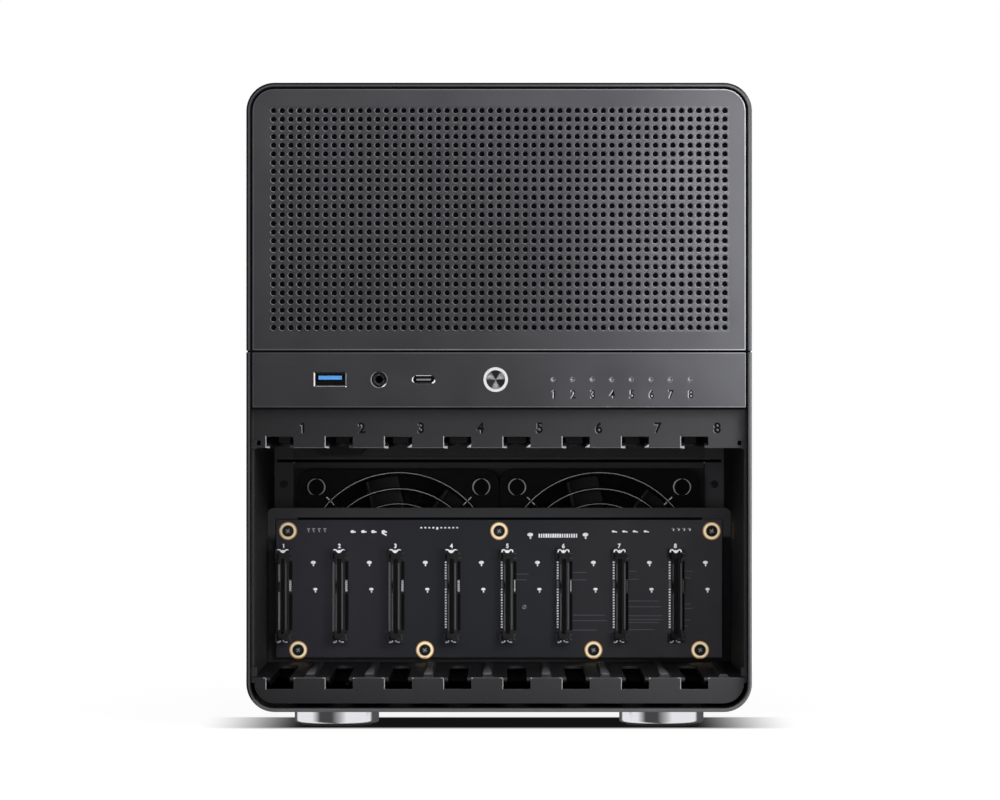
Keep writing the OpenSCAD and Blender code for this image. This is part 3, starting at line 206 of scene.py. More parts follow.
def surface(name, color, rough, metallic=0.0, mottle=0.12, mottle_scale=60.0, vary=0.06,
            grain=1500.0, grain_height=0.02, edge=0.0, edge_color=None, edge_mix=0.5,
            stretch=None, specular=0.5, extra=None):
    """Painted, moulded or metal surface: colour drift, roughness drift, fine grain, and edges recoloured
    partly as wear, partly as painted light.
    """
    g = Graph(name)
    drift = g.noise(mottle_scale, 3.0, stretch)
    base = g.mix(drift, scaled(color, 1.0 - mottle), scaled(color, 1.0 + mottle))
    fine = g.noise(grain, 2.0, stretch)
    normal = None
    if edge:
        normal, on_edge = g.edges(edge * MM)
        # Edge colour: partly wear, partly a painted highlight or painted shade along the rounded edges
        if edge_mix:
            base = g.mix(g.math("MULTIPLY", on_edge, edge_mix), base, edge_color or scaled(color, 2.2))
    height = fine
    if extra:
        base, height = extra(g, base, fine)
    g.put(g.shader.inputs["Base Color"], base)
    spread = g.span(g.noise(mottle_scale * 2.3, 2.0), 0.2, 0.8, rough - vary, rough + vary)
    g.put(g.shader.inputs["Roughness"], spread)
    g.put(g.shader.inputs["Normal"], g.bump(height, grain_height * MM, normal))
    g.shader.inputs["Metallic"].default_value = metallic
    g.shader.inputs["Specular IOR Level"].default_value = specular
    return g.material


def dress(material, *nodes):
    for name in nodes:
        mesh = parts[name].data
        mesh.materials.clear()
        mesh.materials.append(material)


def rim_painted_light(g, base, fine):
    """Machined rim with painted light and shade: black at its inner edge, a fine line, then a band dark at
    the upper left and pale at the lower right and below.
    """
    x, y, z = g.axes()
    high = g.math("SUBTRACT", z, RIM_Z)
    u = g.math("MAXIMUM", g.math("SUBTRACT", g.math("ABSOLUTE", x), RIM_FLAT_X), 0.0)
    v = g.math("MAXIMUM", g.math("SUBTRACT", g.math("ABSOLUTE", high), RIM_FLAT_Z), 0.0)
    far = g.math("SQRT", g.math("ADD", g.math("MULTIPLY", u, u), g.math("MULTIPLY", v, v)))
    across = g.math("SUBTRACT", far, RIM_R)
    side = g.math("MULTIPLY", g.math("DIVIDE", u, g.math("MAXIMUM", far, 0.001)), g.math("SIGN", x))
    up = g.math("MULTIPLY", g.math("DIVIDE", v, g.math("MAXIMUM", far, 0.001)), g.math("SIGN", high))
    # Painted light from the lower right on the rounded rim: dark at the upper left, pale at the lower right
    # and below
    toward = g.span(g.math("SUBTRACT", side, up), -0.4, 0.5, smooth=True)
    below = g.span(up, -0.4, -0.9, smooth=True)
    line = g.mix(below, g.mix(toward, grey(98), grey(86)), grey(124))
    low = g.span(z, 0.25, 0.075)
    band = g.mix(toward, g.mix(low, grey(36), grey(44)), g.mix(low, grey(84), grey(138)))
    band = g.mix(below, band, grey(116))
    paint = g.mix(g.span(across, 0.0010, 0.0013), line, band)
    # Painted shade: black at the rim's inner edge, beside the gap
    paint = g.mix(g.span(across, 0.0002, 0.0005), grey(4), paint)
    base = g.mix(g.span(y, -0.1298, -0.1290), paint, base)
    # Faces that look into the case are painted black as shade
    gx, _, gz = g.axes(g.add("NewGeometry").outputs["Normal"])
    outward = g.math("ADD", g.math("MULTIPLY", gx, x), g.math("MULTIPLY", gz, high))
    return g.mix(g.math("LESS_THAN", outward, -0.005), base, grey(8)), fine


def painted_shade_lower_left(g, base, fine):
    """Painted shade that darkens the anodising toward the lower left."""
    x, _, z = g.axes()
    low = g.span(z, 0.28, 0.17)
    left = g.span(x, 0.105, -0.02, smooth=True)
    return g.mix(g.math("MULTIPLY", g.math("MULTIPLY", low, left), 0.34), base, grey(0, 0)), fine


def hole_painted_highlights(g, base, fine):
    """Anodised mesh with painted shade at the lower left: a countersink round every hole painted bright as
    a highlight, and a fine speckle between them, both painted paler toward the right.
    """
    base, _ = painted_shade_lower_left(g, base, fine)
    x, _, z = g.axes()
    first_x = -(HOLE_COLUMNS - 1) / 2 * HOLE_PITCH
    middle_z = LOWEST_HOLE_Z + (HOLE_ROWS - 1) / 2 * HOLE_PITCH
    dx = g.math("PINGPONG", g.math("SUBTRACT", x, first_x), HOLE_PITCH / 2)
    dz = g.math("PINGPONG", g.math("SUBTRACT", z, LOWEST_HOLE_Z), HOLE_PITCH / 2)
    radius = g.math("SQRT", g.math("ADD", g.math("MULTIPLY", dx, dx), g.math("MULTIPLY", dz, dz)))
    off_z = g.math("ABSOLUTE", g.math("SUBTRACT", z, middle_z))
    inside = g.math("MULTIPLY",
                    g.math("LESS_THAN", g.math("ABSOLUTE", x), HOLE_COLUMNS / 2 * HOLE_PITCH),
                    g.math("LESS_THAN", off_z, HOLE_ROWS / 2 * HOLE_PITCH))
    halo = g.math("MULTIPLY", inside, g.span(radius, 0.00125, 0.00165, 1.0, 0.0, smooth=True))
    speckle = g.math("MULTIPLY", g.span(g.noise(1200.0, 1.0), 0.3, 0.7), inside)
    # Painted light: the speckle and the hole highlights grow paler toward the right
    right = g.span(x, 0.01, 0.09, smooth=True)
    base = g.mix(g.math("MULTIPLY", speckle, 0.35), base, g.mix(right, grey(64), grey(150)))
    base = g.mix(g.math("MULTIPLY", halo, 0.3), base, g.mix(right, grey(120, 4), grey(180, 4)))
    height = g.math("SUBTRACT", g.math("MULTIPLY", fine, 0.1), g.math("MULTIPLY", halo, 8.0))
    return base, height


def spun_painted_gleams(g, base, fine):
    """Spun face of the power button: three radial gleams painted into its colour as highlights, broken up
    by fine scratches.
    """
    x, _, z = g.axes()
    dx = g.math("SUBTRACT", x, BUTTON_X * MM)
    dz = g.math("SUBTRACT", z, PORT_Z * MM)
    angle = g.math("ARCTAN2", dz, dx)
    radius = g.math("SQRT", g.math("ADD", g.math("MULTIPLY", dx, dx), g.math("MULTIPLY", dz, dz)))
    rings = g.math("SINE", g.math("MULTIPLY", radius, 26000.0))
    lobes = g.math("COSINE", g.math("MULTIPLY", g.math("SUBTRACT", angle, math.radians(30)), 3.0))
    scratch = g.span(g.noise(1400.0, 1.0), 0.3, 0.7, 0.35, 1.0)
    light = g.math("MULTIPLY", g.span(lobes, -0.3, 0.9, smooth=True), scratch)
    base = g.mix(light, grey(16), grey(150))
    height = g.math("ADD", g.math("MULTIPLY", rings, 0.5), g.math("MULTIPLY", fine, 0.3))
    return base, height


def led_painted_highlights(g, base, fine):
    """Light pipe seen end on: a painted highlight as a pale crescent at its left, a faint one low at its
    right, and painted shade between.
    """
    x, _, z = g.axes()
    along = g.math("ADD", g.math("DIVIDE", g.math("SUBTRACT", x, LED_X * MM), LED_PITCH * MM), 0.5)
    u = g.math("MULTIPLY", g.math("SUBTRACT", g.math("FRACT", along), 0.5), LED_PITCH)
    v = g.math("DIVIDE", g.math("SUBTRACT", z, PORT_Z * MM), MM)
    base = g.mix(g.span(g.math("ADD", u, v), 0.2, 0.7, 0.75, 1.0), base, grey(34))
    base = g.mix(g.blob(u, v, 0.5, -0.45, 0.34, 0.4), base, grey(74))
    base = g.mix(g.blob(u, v, -0.6, 0.1, 0.36, 0.6), base, grey(126))
    return base, fine


def woven(g, base, fine):
    """Plain weave of a filter cloth."""
    x, _, z = g.axes()
    count = math.pi / THREAD
    warp = g.math("SINE", g.math("MULTIPLY", x, count))
    weft = g.math("SINE", g.math("MULTIPLY", z, count))
    cross = g.math("MULTIPLY", warp, weft)
    base = g.mix(g.span(cross, -1.0, 1.0), base, grey(12))
    return base, g.math("ADD", g.math("MULTIPLY", cross, 3.0), fine)


def mask_tint_and_painted_light(g, base, fine):
    """Solder mask: bluer at the left, darker toward the middle, painted light paler toward the right, with
    faint upright bands.
    """
    x, _, _ = g.axes()
    base = g.mix(g.span(x, -0.10, -0.02, smooth=True), linear(31, 30, 38), linear(22, 24, 30))
    # Painted light: paler toward the right, where the right wall shades the board
    base = g.mix(g.span(x, 0.01, 0.10, smooth=True), base, linear(43, 41, 45))
    bands = g.noise(90.0, 2.0, (1.0, 1.0, 0.06))
    return g.mix(g.span(bands, 0.35, 0.65, 0.0, 0.25), base, linear(22, 22, 28)), fine


def speckle(g, base, fine):
    """Moulding with pale flecks."""
    flecks = g.span(g.noise(1700.0, 1.0), 0.55, 0.7, 0.0, 0.5)
    return g.mix(flecks, base, grey(120)), fine


def tray_shade(g, base, fine):
    """Painted shade on the tray: dark on the level faces and toward the left, and painted light a little
    paler toward the right.
    """
    _, _, nz = g.axes(g.add("NewGeometry").outputs["Normal"])
    level = g.span(g.math("ABSOLUTE", nz), 0.5, 0.8, 0.0, 0.9, smooth=True)
    x, _, _ = g.axes()
    base = g.mix(g.span(x, -0.11, -0.03, 0.45, 0.0, smooth=True), base, grey(12))
    base = g.mix(g.span(x, -0.02, 0.11, 0.0, 0.3, smooth=True), base, grey(62))
    return g.mix(level, base, grey(6)), fine


def duct_shade(g, base, fine):
    """Painted shade on the door: it goes black inside the two fan ducts."""
    x, _, z = g.axes()
    duct = g.blob(g.math("ABSOLUTE", x), z, FAN_X * MM, FAN_Z * MM, 0.049, 0.049, 0.01)
    return g.mix(duct, base, grey(4)), fine


def side_fade(g, base, fine):
    """Cage wall with painted light, paler on its rear return."""
    _, y, z = g.axes()
    back = g.math("MULTIPLY", g.span(y, 0.112, 0.118), g.span(z, 0.085, 0.086))
    return g.mix(g.math("MULTIPLY", back, 0.8), base, grey(52)), fine


def crest_fade(g, base, fine):
    """Painted highlight that fades toward the back."""
    _, y, _ = g.axes()
    return g.mix(g.span(y, -0.10, 0.0), base, grey(14)), fine


def shaded_foot(g, base, fine):
    """Painted shade on the bracket: dark below the ears."""
    _, _, z = g.axes()
    return g.mix(g.span(z, EARS_Z - 0.0005, EARS_Z + 0.0005, 0.95, 0.0), base, grey(5)), fine


def bead_painted_light(g, base, fine):
    """Cut edge with painted light: dull at the left and bright at the right."""
    x, _, _ = g.axes()
    base = g.mix(g.span(x, -0.11, -0.04), grey(116), base)
    return g.mix(g.span(x, 0.06, 0.112), base, grey(182)), fine


ANODISED = linear(98, 98, 102)
panel_metal = surface("panel_anodised", ANODISED, 0.38, 0.94, mottle=0.05, mottle_scale=25, grain=2600,
                      grain_height=0.02, edge=0.45, edge_color=linear(165, 165, 170), edge_mix=0.6,
                      extra=hole_painted_highlights)
strip_metal = surface("strip_anodised", ANODISED, 0.38, 0.94, mottle=0.05, mottle_scale=25, grain=2600,
                      grain_height=0.008, edge=0.3, edge_color=linear(150, 150, 155), edge_mix=0.6,
                      extra=painted_shade_lower_left)
# The shell's rim carries painted light and shade
shell_metal = surface("shell_anodised", linear(84, 84, 87), 0.4, 0.9, mottle=0.03, mottle_scale=20,
                      vary=0.015, grain=2600, grain_height=0.008, edge=0.35, edge_mix=0.0, extra=rim_painted_light)
powder = surface("powder_coat_black", linear(30, 29, 31), 0.5, mottle=0.08, mottle_scale=90, grain=1800,
                 grain_height=0.02, edge=0.25, edge_color=linear(84, 82, 86), edge_mix=0.7, specular=0.35,
                 extra=tray_shade)
powder_dark = surface("powder_coat_deep", grey(20), 0.55, mottle=0.1, mottle_scale=90, grain=1800,
                      grain_height=0.02, edge=0.25, edge_color=grey(60), edge_mix=0.5)
powder_rear = surface("powder_coat_rear", grey(40), 0.55, mottle=0.1, mottle_scale=90, grain=1800,
                      grain_height=0.02, edge=0.25, edge_color=grey(70), edge_mix=0.5)
powder_door = surface("powder_coat_door", grey(28), 0.55, mottle=0.1, mottle_scale=90, grain=1800,
                      grain_height=0.02, edge=0.25, edge_color=grey(70), edge_mix=0.5, extra=duct_shade)
powder_side = surface("powder_coat_side", grey(27), 0.55, mottle=0.1, mottle_scale=90, grain=1800,
                      grain_height=0.02, edge=0.25, edge_color=grey(60), edge_mix=0.5, extra=side_fade)
powder_black = surface("frame_black", grey(6), 0.6, mottle=0.2, mottle_scale=120, grain=1800,
                       grain_height=0.02, specular=0.15)
powder_grey = surface("powder_coat_grey", grey(40), 0.5, mottle=0.08, mottle_scale=90, grain=1800,
                      grain_height=0.02, edge=0.3, edge_color=grey(80), edge_mix=0.6, extra=shaded_foot)
plastic = surface("moulded_black", grey(14), 0.45, mottle=0.15, mottle_scale=200, grain=2500,
                  grain_height=0.012, edge=0.15, edge_color=grey(80), edge_mix=0.5)
socket_black = surface("socket_black", grey(7), 0.55, mottle=0.25, mottle_scale=300, grain=2500,
                       grain_height=0.012, specular=0.15)
jack_black = surface("jack_moulding", grey(12), 0.6, mottle=0.2, mottle_scale=300, grain=2500,
                     grain_height=0.02, extra=speckle)
tongue_grey = surface("tongue_grey", grey(96), 0.5, mottle=0.2, mottle_scale=400, grain=2500,
                      grain_height=0.01)
# Port shells: steel darkened as painted shade inside the ports
socket_steel = surface("socket_steel", grey(34), 0.5, 0.5, mottle=0.2, mottle_scale=400, grain=1800,
                       grain_height=0.008)
fan_plastic = surface("fan_moulding", grey(9, 1), 0.5, mottle=0.15, mottle_scale=120, grain=2200,
                      grain_height=0.012, edge=0.3, edge_color=grey(30), edge_mix=0.5, specular=0.25)
blade_plastic = surface("fan_blade_moulding", grey(27, 1), 0.3, mottle=0.05, mottle_scale=90, grain=1500,
                        grain_height=0.01)
wire_metal = surface("guard_wire_black", grey(60), 0.22, 0.9, mottle=0.15, mottle_scale=300, grain=900,
                     grain_height=0.01)
wire_glint = surface("guard_wire_glint", grey(150), 0.3, 0.4, mottle=0.2, mottle_scale=300, grain=900,
                     grain_height=0.01)
black_screw = surface("black_oxide", grey(45, 3), 0.3, 0.8, mottle=0.2, mottle_scale=500, grain=2500,
                      grain_height=0.01, edge=0.2, edge_color=grey(120, 4), edge_mix=0.6)
dark_screw = surface("dull_oxide", grey(10, 1), 0.5, 0.3, mottle=0.2, mottle_scale=500, grain=2500,
                     grain_height=0.01, specular=0.2)
bright_steel = surface("nickel_plate", grey(190), 0.25, 1.0, mottle=0.06, mottle_scale=300,
                       grain=1200, grain_height=0.006, edge=0.12, edge_color=grey(235, 3))
catch_steel = surface("catch_steel", grey(38), 0.4, 0.4, mottle=0.15, mottle_scale=500, grain=1500,
                      grain_height=0.01)
# Painted highlight on the port lips
lip_highlight = surface("lip_painted_highlight", linear(205, 196, 196), 0.4, 0.1, mottle=0.08, mottle_scale=900,
                    grain=1500, grain_height=0.01)
ring_chrome = surface("satin_ring", grey(170), 0.5, 0.1, mottle=0.06, mottle_scale=700,
                      grain=1500, grain_height=0.006)
# Chrome feet: their edges are painted darker, a painted reflection of the dark case above them
chrome = surface("polished_chrome", linear(232, 232, 236), 0.09, 1.0, mottle=0.02, mottle_scale=120,
                 vary=0.02, grain=600, grain_height=0.002, stretch=(1.0, 1.0, 12.0), edge=0.5,
                 edge_color=grey(120, 4), edge_mix=0.5)
gold = surface("gold_plate", linear(255, 240, 202), 0.4, 0.05, mottle=0.14, mottle_scale=160, grain=1500,
               grain_height=0.01, edge=0.2, edge_color=linear(255, 240, 205), edge_mix=0.6)
brass = surface("turned_brass", linear(190, 160, 100), 0.3, 1.0, mottle=0.1, mottle_scale=300, grain=1500,
                grain_height=0.01)
board_mask = surface("board_solder_mask", linear(52, 51, 58), 0.35, mottle=0.14, mottle_scale=35, grain=700,
                     grain_height=0.015, edge=0.15, edge_color=grey(80, 6), edge_mix=0.4, extra=mask_tint_and_painted_light)
green_mask = surface("port_board_mask", linear(28, 62, 46), 0.4, mottle=0.1, mottle_scale=60)
blue_plastic = surface("blue_tongue", linear(60, 120, 178), 0.4, mottle=0.08, mottle_scale=400, grain=2500,
                       grain_height=0.01)
white_plastic = surface("white_nylon", linear(226, 224, 216), 0.45, mottle=0.04, mottle_scale=200)
clear_plastic = surface("light_pipe", linear(165, 165, 172), 0.25, mottle=0.1, mottle_scale=500,
                        extra=led_painted_highlights)
rubber = surface("rubber", grey(26, 1), 0.75, mottle=0.15, mottle_scale=300, grain=1500, grain_height=0.03)
cloth = surface("filter_cloth", grey(5, 1), 0.9, mottle=0.2, mottle_scale=150, grain=1800,
                grain_height=0.06, specular=0.1, extra=woven)
spun_cap = surface("spun_aluminium", grey(60), 0.4, 0.4, grain_height=0.01, extra=spun_painted_gleams)

dress(shell_metal, "lower_shell", "upper_shell")
dress(panel_metal, "front_mesh_panel")
dress(strip_metal, "io_strip")
dress(powder_dark, "side_mesh_left", "side_mesh_right", "top_rails", "psu_bracket", "motherboard_deck")
dress(powder_side, "bay_side_left", "bay_side_right")
dress(powder_rear, "rear_plate")
dress(powder_door, "fan_door")
dress(powder_black, "front_frame")
dress(powder, "upper_bay_tray", "lower_bay_tray")
dress(powder_grey, "backplane_bracket", "slot_covers")
dress(plastic, "power_switch", "backplane_connectors", "backplane_data_ports", "ac_inlet")
dress(socket_black, "upper_guide_rails", "lower_guide_rails")
dress(jack_black, "audio_jack")
dress(tongue_grey, "usb_c_tongue")
dress(socket_steel, "usb_a_shell", "usb_c_shell")
dress(fan_plastic, "fan_left_frame", "fan_right_frame")
dress(blade_plastic, "fan_left_rotor", "fan_right_rotor")
dress(wire_metal, "fan_left_guard", "fan_right_guard")
dress(dark_screw, "guard_screws", "fan_screws")
dress(black_screw, "backplane_screws", "fan_door_thumbscrews", "shell_thumbscrews")
dress(bright_steel, "io_board_spacers", "foot_screws", "rear_screws")
dress(catch_steel, "cover_catches")
dress(ring_chrome, "power_button_ring")
dress(chrome, "foot_front_left", "foot_front_right", "foot_rear_left", "foot_rear_right")
dress(gold, "backplane_pads")
dress(brass, "motherboard_standoffs")
dress(board_mask, "backplane_board")
dress(green_mask, "io_board")
dress(blue_plastic, "usb_a_tongue")
dress(white_plastic, "backplane_power_ports", "status_leds")
dress(clear_plastic, "led_light_pipes")
dress(rubber, "foot_pads")
dress(cloth, "front_filter", "fan_door_filters")
dress(spun_cap, "power_button")


# Stage: white floor that keeps the shadow and carries a painted shadow under the case, white world, soft
# lamps

def stage_floor():
    bpy.ops.mesh.primitive_plane_add(size=8, location=(0, 0, -0.0002))
    floor = bpy.context.object
    floor.name = "floor"
    g = Graph("floor_white")
    x, y, _ = g.axes()
    ax = g.math("ABSOLUTE", x)
    ay = g.math("ABSOLUTE", y)
    # Painted shadow: the floor is black under the front half of the case, and as white as the world farther
    # out
    band = g.math("MULTIPLY", g.span(ay, 0.128, 0.108, smooth=True), g.span(ax, 0.142, 0.09, smooth=True))
    painted_shadow = g.math("MULTIPLY", g.span(y, -0.018, -0.030, smooth=True), band)
    light = g.math("SUBTRACT", 1.0, painted_shadow)
    radius = g.math("SQRT", g.math("ADD", g.math("MULTIPLY", x, x), g.math("MULTIPLY", y, y)))
    far = g.span(radius, 0.25, 0.5, smooth=True)
    glow = g.math("ADD", g.math("MULTIPLY", light, 0.904), 0.006)
    seen = g.add("Emission")
    g.put(seen.inputs["Strength"], g.math("MAXIMUM", glow, far))
    kept = g.add("BsdfDiffuse")
    g.put(kept.inputs["Color"], g.mix(light, (0.005, 0.005, 0.005, 1), (0.12, 0.12, 0.12, 1)))
    both = g.add("AddShader")
    g.put(both.inputs[0], seen.outputs[0])
    g.put(both.inputs[1], kept.outputs[0])
    plain = g.add("BsdfDiffuse")
    plain.inputs["Color"].default_value = (0.8, 0.8, 0.8, 1)
    ray = g.add("LightPath")
    mirrored = g.add("MixShader")
    g.put(mirrored.inputs[0], ray.outputs["Is Glossy Ray"])
    g.put(mirrored.inputs[1], plain.outputs[0])
    g.put(mirrored.inputs[2], g.add("BsdfTransparent").outputs[0])
    choose = g.add("MixShader")
    g.put(choose.inputs[0], ray.outputs["Is Camera Ray"])
    g.put(choose.inputs[1], mirrored.outputs[0])
    g.put(choose.inputs[2], both.outputs[0])
    g.put(g.output.inputs["Surface"], choose.outputs[0])
    floor.data.materials.append(g.material)


def stage_world():
    """White to the eye, an even soft light, and in metal a pale studio with dark cards front and back."""
    world = bpy.data.worlds.new("studio")
    bpy.context.scene.world = world
    world.use_nodes = True
    tree = world.node_tree
    tree.nodes.clear()

    def add(kind, **settings):
        node = tree.nodes.new("ShaderNode" + kind)
        for key, value in settings.items():
            setattr(node, key, value)
        return node

    def math_node(operation, a, b=None):
        node = add("Math", operation=operation)
        for socket, value in zip(node.inputs, (a, b)):
            if hasattr(value, "is_output"):
                tree.links.new(value, socket)
            elif value is not None:
                socket.default_value = value
        return node.outputs[0]

    split = add("SeparateXYZ")
    tree.links.new(add("TexCoord").outputs["Generated"], split.inputs[0])
    turn = math_node("ARCTAN2", split.outputs["X"], math_node("MULTIPLY", split.outputs["Y"], -1.0))
    share = math_node("ADD", math_node("DIVIDE", turn, 2 * math.pi), 0.5)
    ramp = add("ValToRGB")
    tree.links.new(share, ramp.inputs[0])
    # Degrees round the case, from the front toward the right, and the brightness there
    stops = [(-180, 0.08), (-142, 0.1), (-132, 0.95), (-70, 0.95), (-46, 0.07), (-12, 0.07), (12, 0.5),
             (28, 0.95), (104, 0.95), (114, 0.1), (180, 0.08)]
    ramp.color_ramp.elements.remove(ramp.color_ramp.elements[1])
    for k, (degrees, value) in enumerate(stops):
        at = (degrees + 180) / 360
        stop = ramp.color_ramp.elements[0] if k == 0 else ramp.color_ramp.elements.new(at)
        stop.position = at
        stop.color = (value, value, value, 1)
    fall = add("MapRange", interpolation_type="SMOOTHSTEP")
    tree.links.new(split.outputs["Z"], fall.inputs["Value"])
    for key, number in (("From Min", 0.25), ("From Max", 0.7), ("To Min", 1.0), ("To Max", 0.25)):
        fall.inputs[key].default_value = number
    ray = add("LightPath")
    glossy = add("Background")
    tree.links.new(ramp.outputs[0], glossy.inputs["Color"])
    tree.links.new(fall.outputs[0], glossy.inputs["Strength"])
    plain = add("Background")
    plain.inputs["Color"].default_value = (1, 1, 1, 1)
    plain.inputs["Strength"].default_value = 0.5
    white = add("Background")
    white.inputs["Color"].default_value = (1, 1, 1, 1)
    first = add("MixShader")
    tree.links.new(ray.outputs["Is Glossy Ray"], first.inputs[0])
    tree.links.new(plain.outputs[0], first.inputs[1])
    tree.links.new(glossy.outputs[0], first.inputs[2])
    clear = math_node("MAXIMUM", ray.outputs["Is Camera Ray"], ray.outputs["Is Transmission Ray"])
    last = add("MixShader")
    tree.links.new(clear, last.inputs[0])
    tree.links.new(first.outputs[0], last.inputs[1])
    tree.links.new(white.outputs[0], last.inputs[2])
    tree.links.new(last.outputs[0], add("OutputWorld").inputs["Surface"])


def lamp(name, place, aim, size, power, mirrored=True):
    data = bpy.data.lights.new(name, "AREA")
    data.shape = "RECTANGLE"
    data.size, data.size_y = size
    data.energy = power
    obj = bpy.data.objects.new(name, data)
    obj.location = place
    obj.rotation_euler = (Vector(aim) - Vector(place)).to_track_quat("-Z", "Y").to_euler()
    obj.visible_camera = False
    obj.visible_glossy = mirrored
    bpy.context.scene.collection.objects.link(obj)


stage_floor()
stage_world()
lamp("softbox_near", (0.285, -0.55, 0.29), (0.03, -0.13, 0.21), (0.16, 0.24), 1.5)
lamp("softbox_top", (0.0, -0.5, 1.3), (0.0, 0.0, 0.2), (1.0, 0.8), 9.0)
lamp("softbox_front", (-0.15, -2.3, 0.10), (0.0, 0.0, 0.1), (0.9, 0.4), 50.0, mirrored=False)


# Pieces that only the picture shows: numbers, marks, pins, solder, painted highlights and painted shade

def piece(name, mesh, material, body="chassis"):
    obj = bpy.data.objects.new(name, mesh)
    bpy.context.scene.collection.objects.link(obj)
    obj.data.materials.append(material)
    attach(obj, body)


def mesh_of(bm, name):
    bmesh.ops.recalc_face_normals(bm, faces=bm.faces)
    mesh = bpy.data.meshes.new(name)
    bm.to_mesh(mesh)
    bm.free()
    return mesh


def add_box(bm, x, y, z, w, d, h, turn=0.0, top=1.0):
    """Box with its middle at a place in millimetres; its front face shrinks to a share of its back face."""
    back = [(-w / 2, d / 2, -h / 2), (w / 2, d / 2, -h / 2), (w / 2, d / 2, h / 2), (-w / 2, d / 2, h / 2)]
    front = [(px * top, -d / 2, pz * top) for px, _, pz in back]
    spin = Matrix.Rotation(math.radians(turn), 4, "Y")
    verts = [bm.verts.new((spin @ Vector(p) + Vector((x, y, z))) * MM) for p in back + front]
    for quad in ((0, 1, 2, 3), (7, 6, 5, 4), (0, 4, 5, 1), (1, 5, 6, 2), (2, 6, 7, 3), (3, 7, 4, 0)):
        bm.faces.new([verts[k] for k in quad])


def add_dome(bm, x, y, z, w, h, d):
    """Low dome, w wide and h high, that stands d in front of the plane y."""
    rings, sides = 3, 12
    rows = []
    for j in range(rings):
        a = j / rings * math.pi / 2
        rows.append([bm.verts.new(((x + w / 2 * math.cos(a) * math.cos(t)) * MM,
                                   (y - d * math.sin(a)) * MM,
                                   (z + h / 2 * math.cos(a) * math.sin(t)) * MM))
                     for t in [k * 2 * math.pi / sides for k in range(sides)]])
    tip = bm.verts.new((x * MM, (y - d) * MM, z * MM))
    for a, b in zip(rows, rows[1:]):
        for k in range(sides):
            bm.faces.new((a[k], a[(k + 1) % sides], b[(k + 1) % sides], b[k]))
    for k in range(sides):
        bm.faces.new((rows[-1][k], rows[-1][(k + 1) % sides], tip))
    bm.faces.new(rows[0][::-1])


def add_arc(bm, x, y, z, r, width, depth, a0, a1, taper=0.0, steps=0):
    """Half-round bead along an arc of the front view, its back on the plane y, in degrees from +X."""
    steps = steps or max(6, int(abs(a1 - a0) / 6))
    closed = abs(a1 - a0) >= 360
    rows = []
    for k in range(steps if closed else steps + 1):
        share = k / steps
        a = math.radians(a0 + (a1 - a0) * share)
        w = width / 2 * (1 - taper * abs(2 * share - 1) ** 2)
        row = []
        for off, out in ((-w, 0.0), (-w * 0.6, depth * 0.8), (0.0, depth),
                         (w * 0.6, depth * 0.8), (w, 0.0)):
            row.append(bm.verts.new(((x + (r + off) * math.cos(a)) * MM, (y - out) * MM,
                                     (z + (r + off) * math.sin(a)) * MM)))
        rows.append(row)
    pairs = list(zip(rows, rows[1:])) + ([(rows[-1], rows[0])] if closed else [])
    for a, b in pairs:
        for k in range(5):
            bm.faces.new((a[k], a[(k + 1) % 5], b[(k + 1) % 5], b[k]))
    if not closed:
        bm.faces.new(rows[0])
        bm.faces.new(rows[-1][::-1])


def add_plate(bm, x, y, z, outline, depth):
    """Flat shape from its outline in the front view, raised by a depth in front of the plane y."""
    back = [bm.verts.new(((x + px) * MM, y * MM, (z + pz) * MM)) for px, pz in outline]
    front = [bm.verts.new(((x + px) * MM, (y - depth) * MM, (z + pz) * MM)) for px, pz in outline]
    bm.faces.new(back)
    bm.faces.new(front[::-1])
    count = len(outline)
    for k in range(count):
        bm.faces.new((back[k], back[(k + 1) % count], front[(k + 1) % count], front[k]))


def add_ring(bm, y, half, low, high, r, inner, outer, depth):
    """Flat band between two offsets of an outline with round upper corners, in front of the plane y."""
    steps = 12
    rows = []
    for d, out in ((inner, 0), (inner, depth), (outer, depth), (outer, 0)):
        points = [(-half - d, low - d), (half + d, low - d)]
        for side, start in ((1, 0), (-1, 90)):
            for k in range(steps + 1):
                a = math.radians(start + 90 * k / steps)
                points.append((side * (half - r) + (r + d) * math.cos(a), high - r + (r + d) * math.sin(a)))
        rows.append([bm.verts.new((px * MM, (y - out) * MM, pz * MM)) for px, pz in points])
    count = len(rows[0])
    for a, b in zip(rows, rows[1:] + rows[:1]):
        for k in range(count):
            bm.faces.new((a[k], a[(k + 1) % count], b[(k + 1) % count], b[k]))


def add_solder(bm, x, z, w):
    """Solder point with a domed cap and a short tail below it."""
    add_dome(bm, x, BOARD_Y, z + 0.3, w, w * 0.66, w * 0.2)
    add_dome(bm, x + 0.1, BOARD_Y, z - w * 0.42, w * 0.34, w * 0.46, w * 0.12)


# Outline of a one with a flag, in shares of its height
ONE = [(0.0, -0.5), (0.13, -0.5), (0.13, 0.5), (0.03, 0.5), (-0.16, 0.36), (-0.16, 0.22), (0.0, 0.32)]


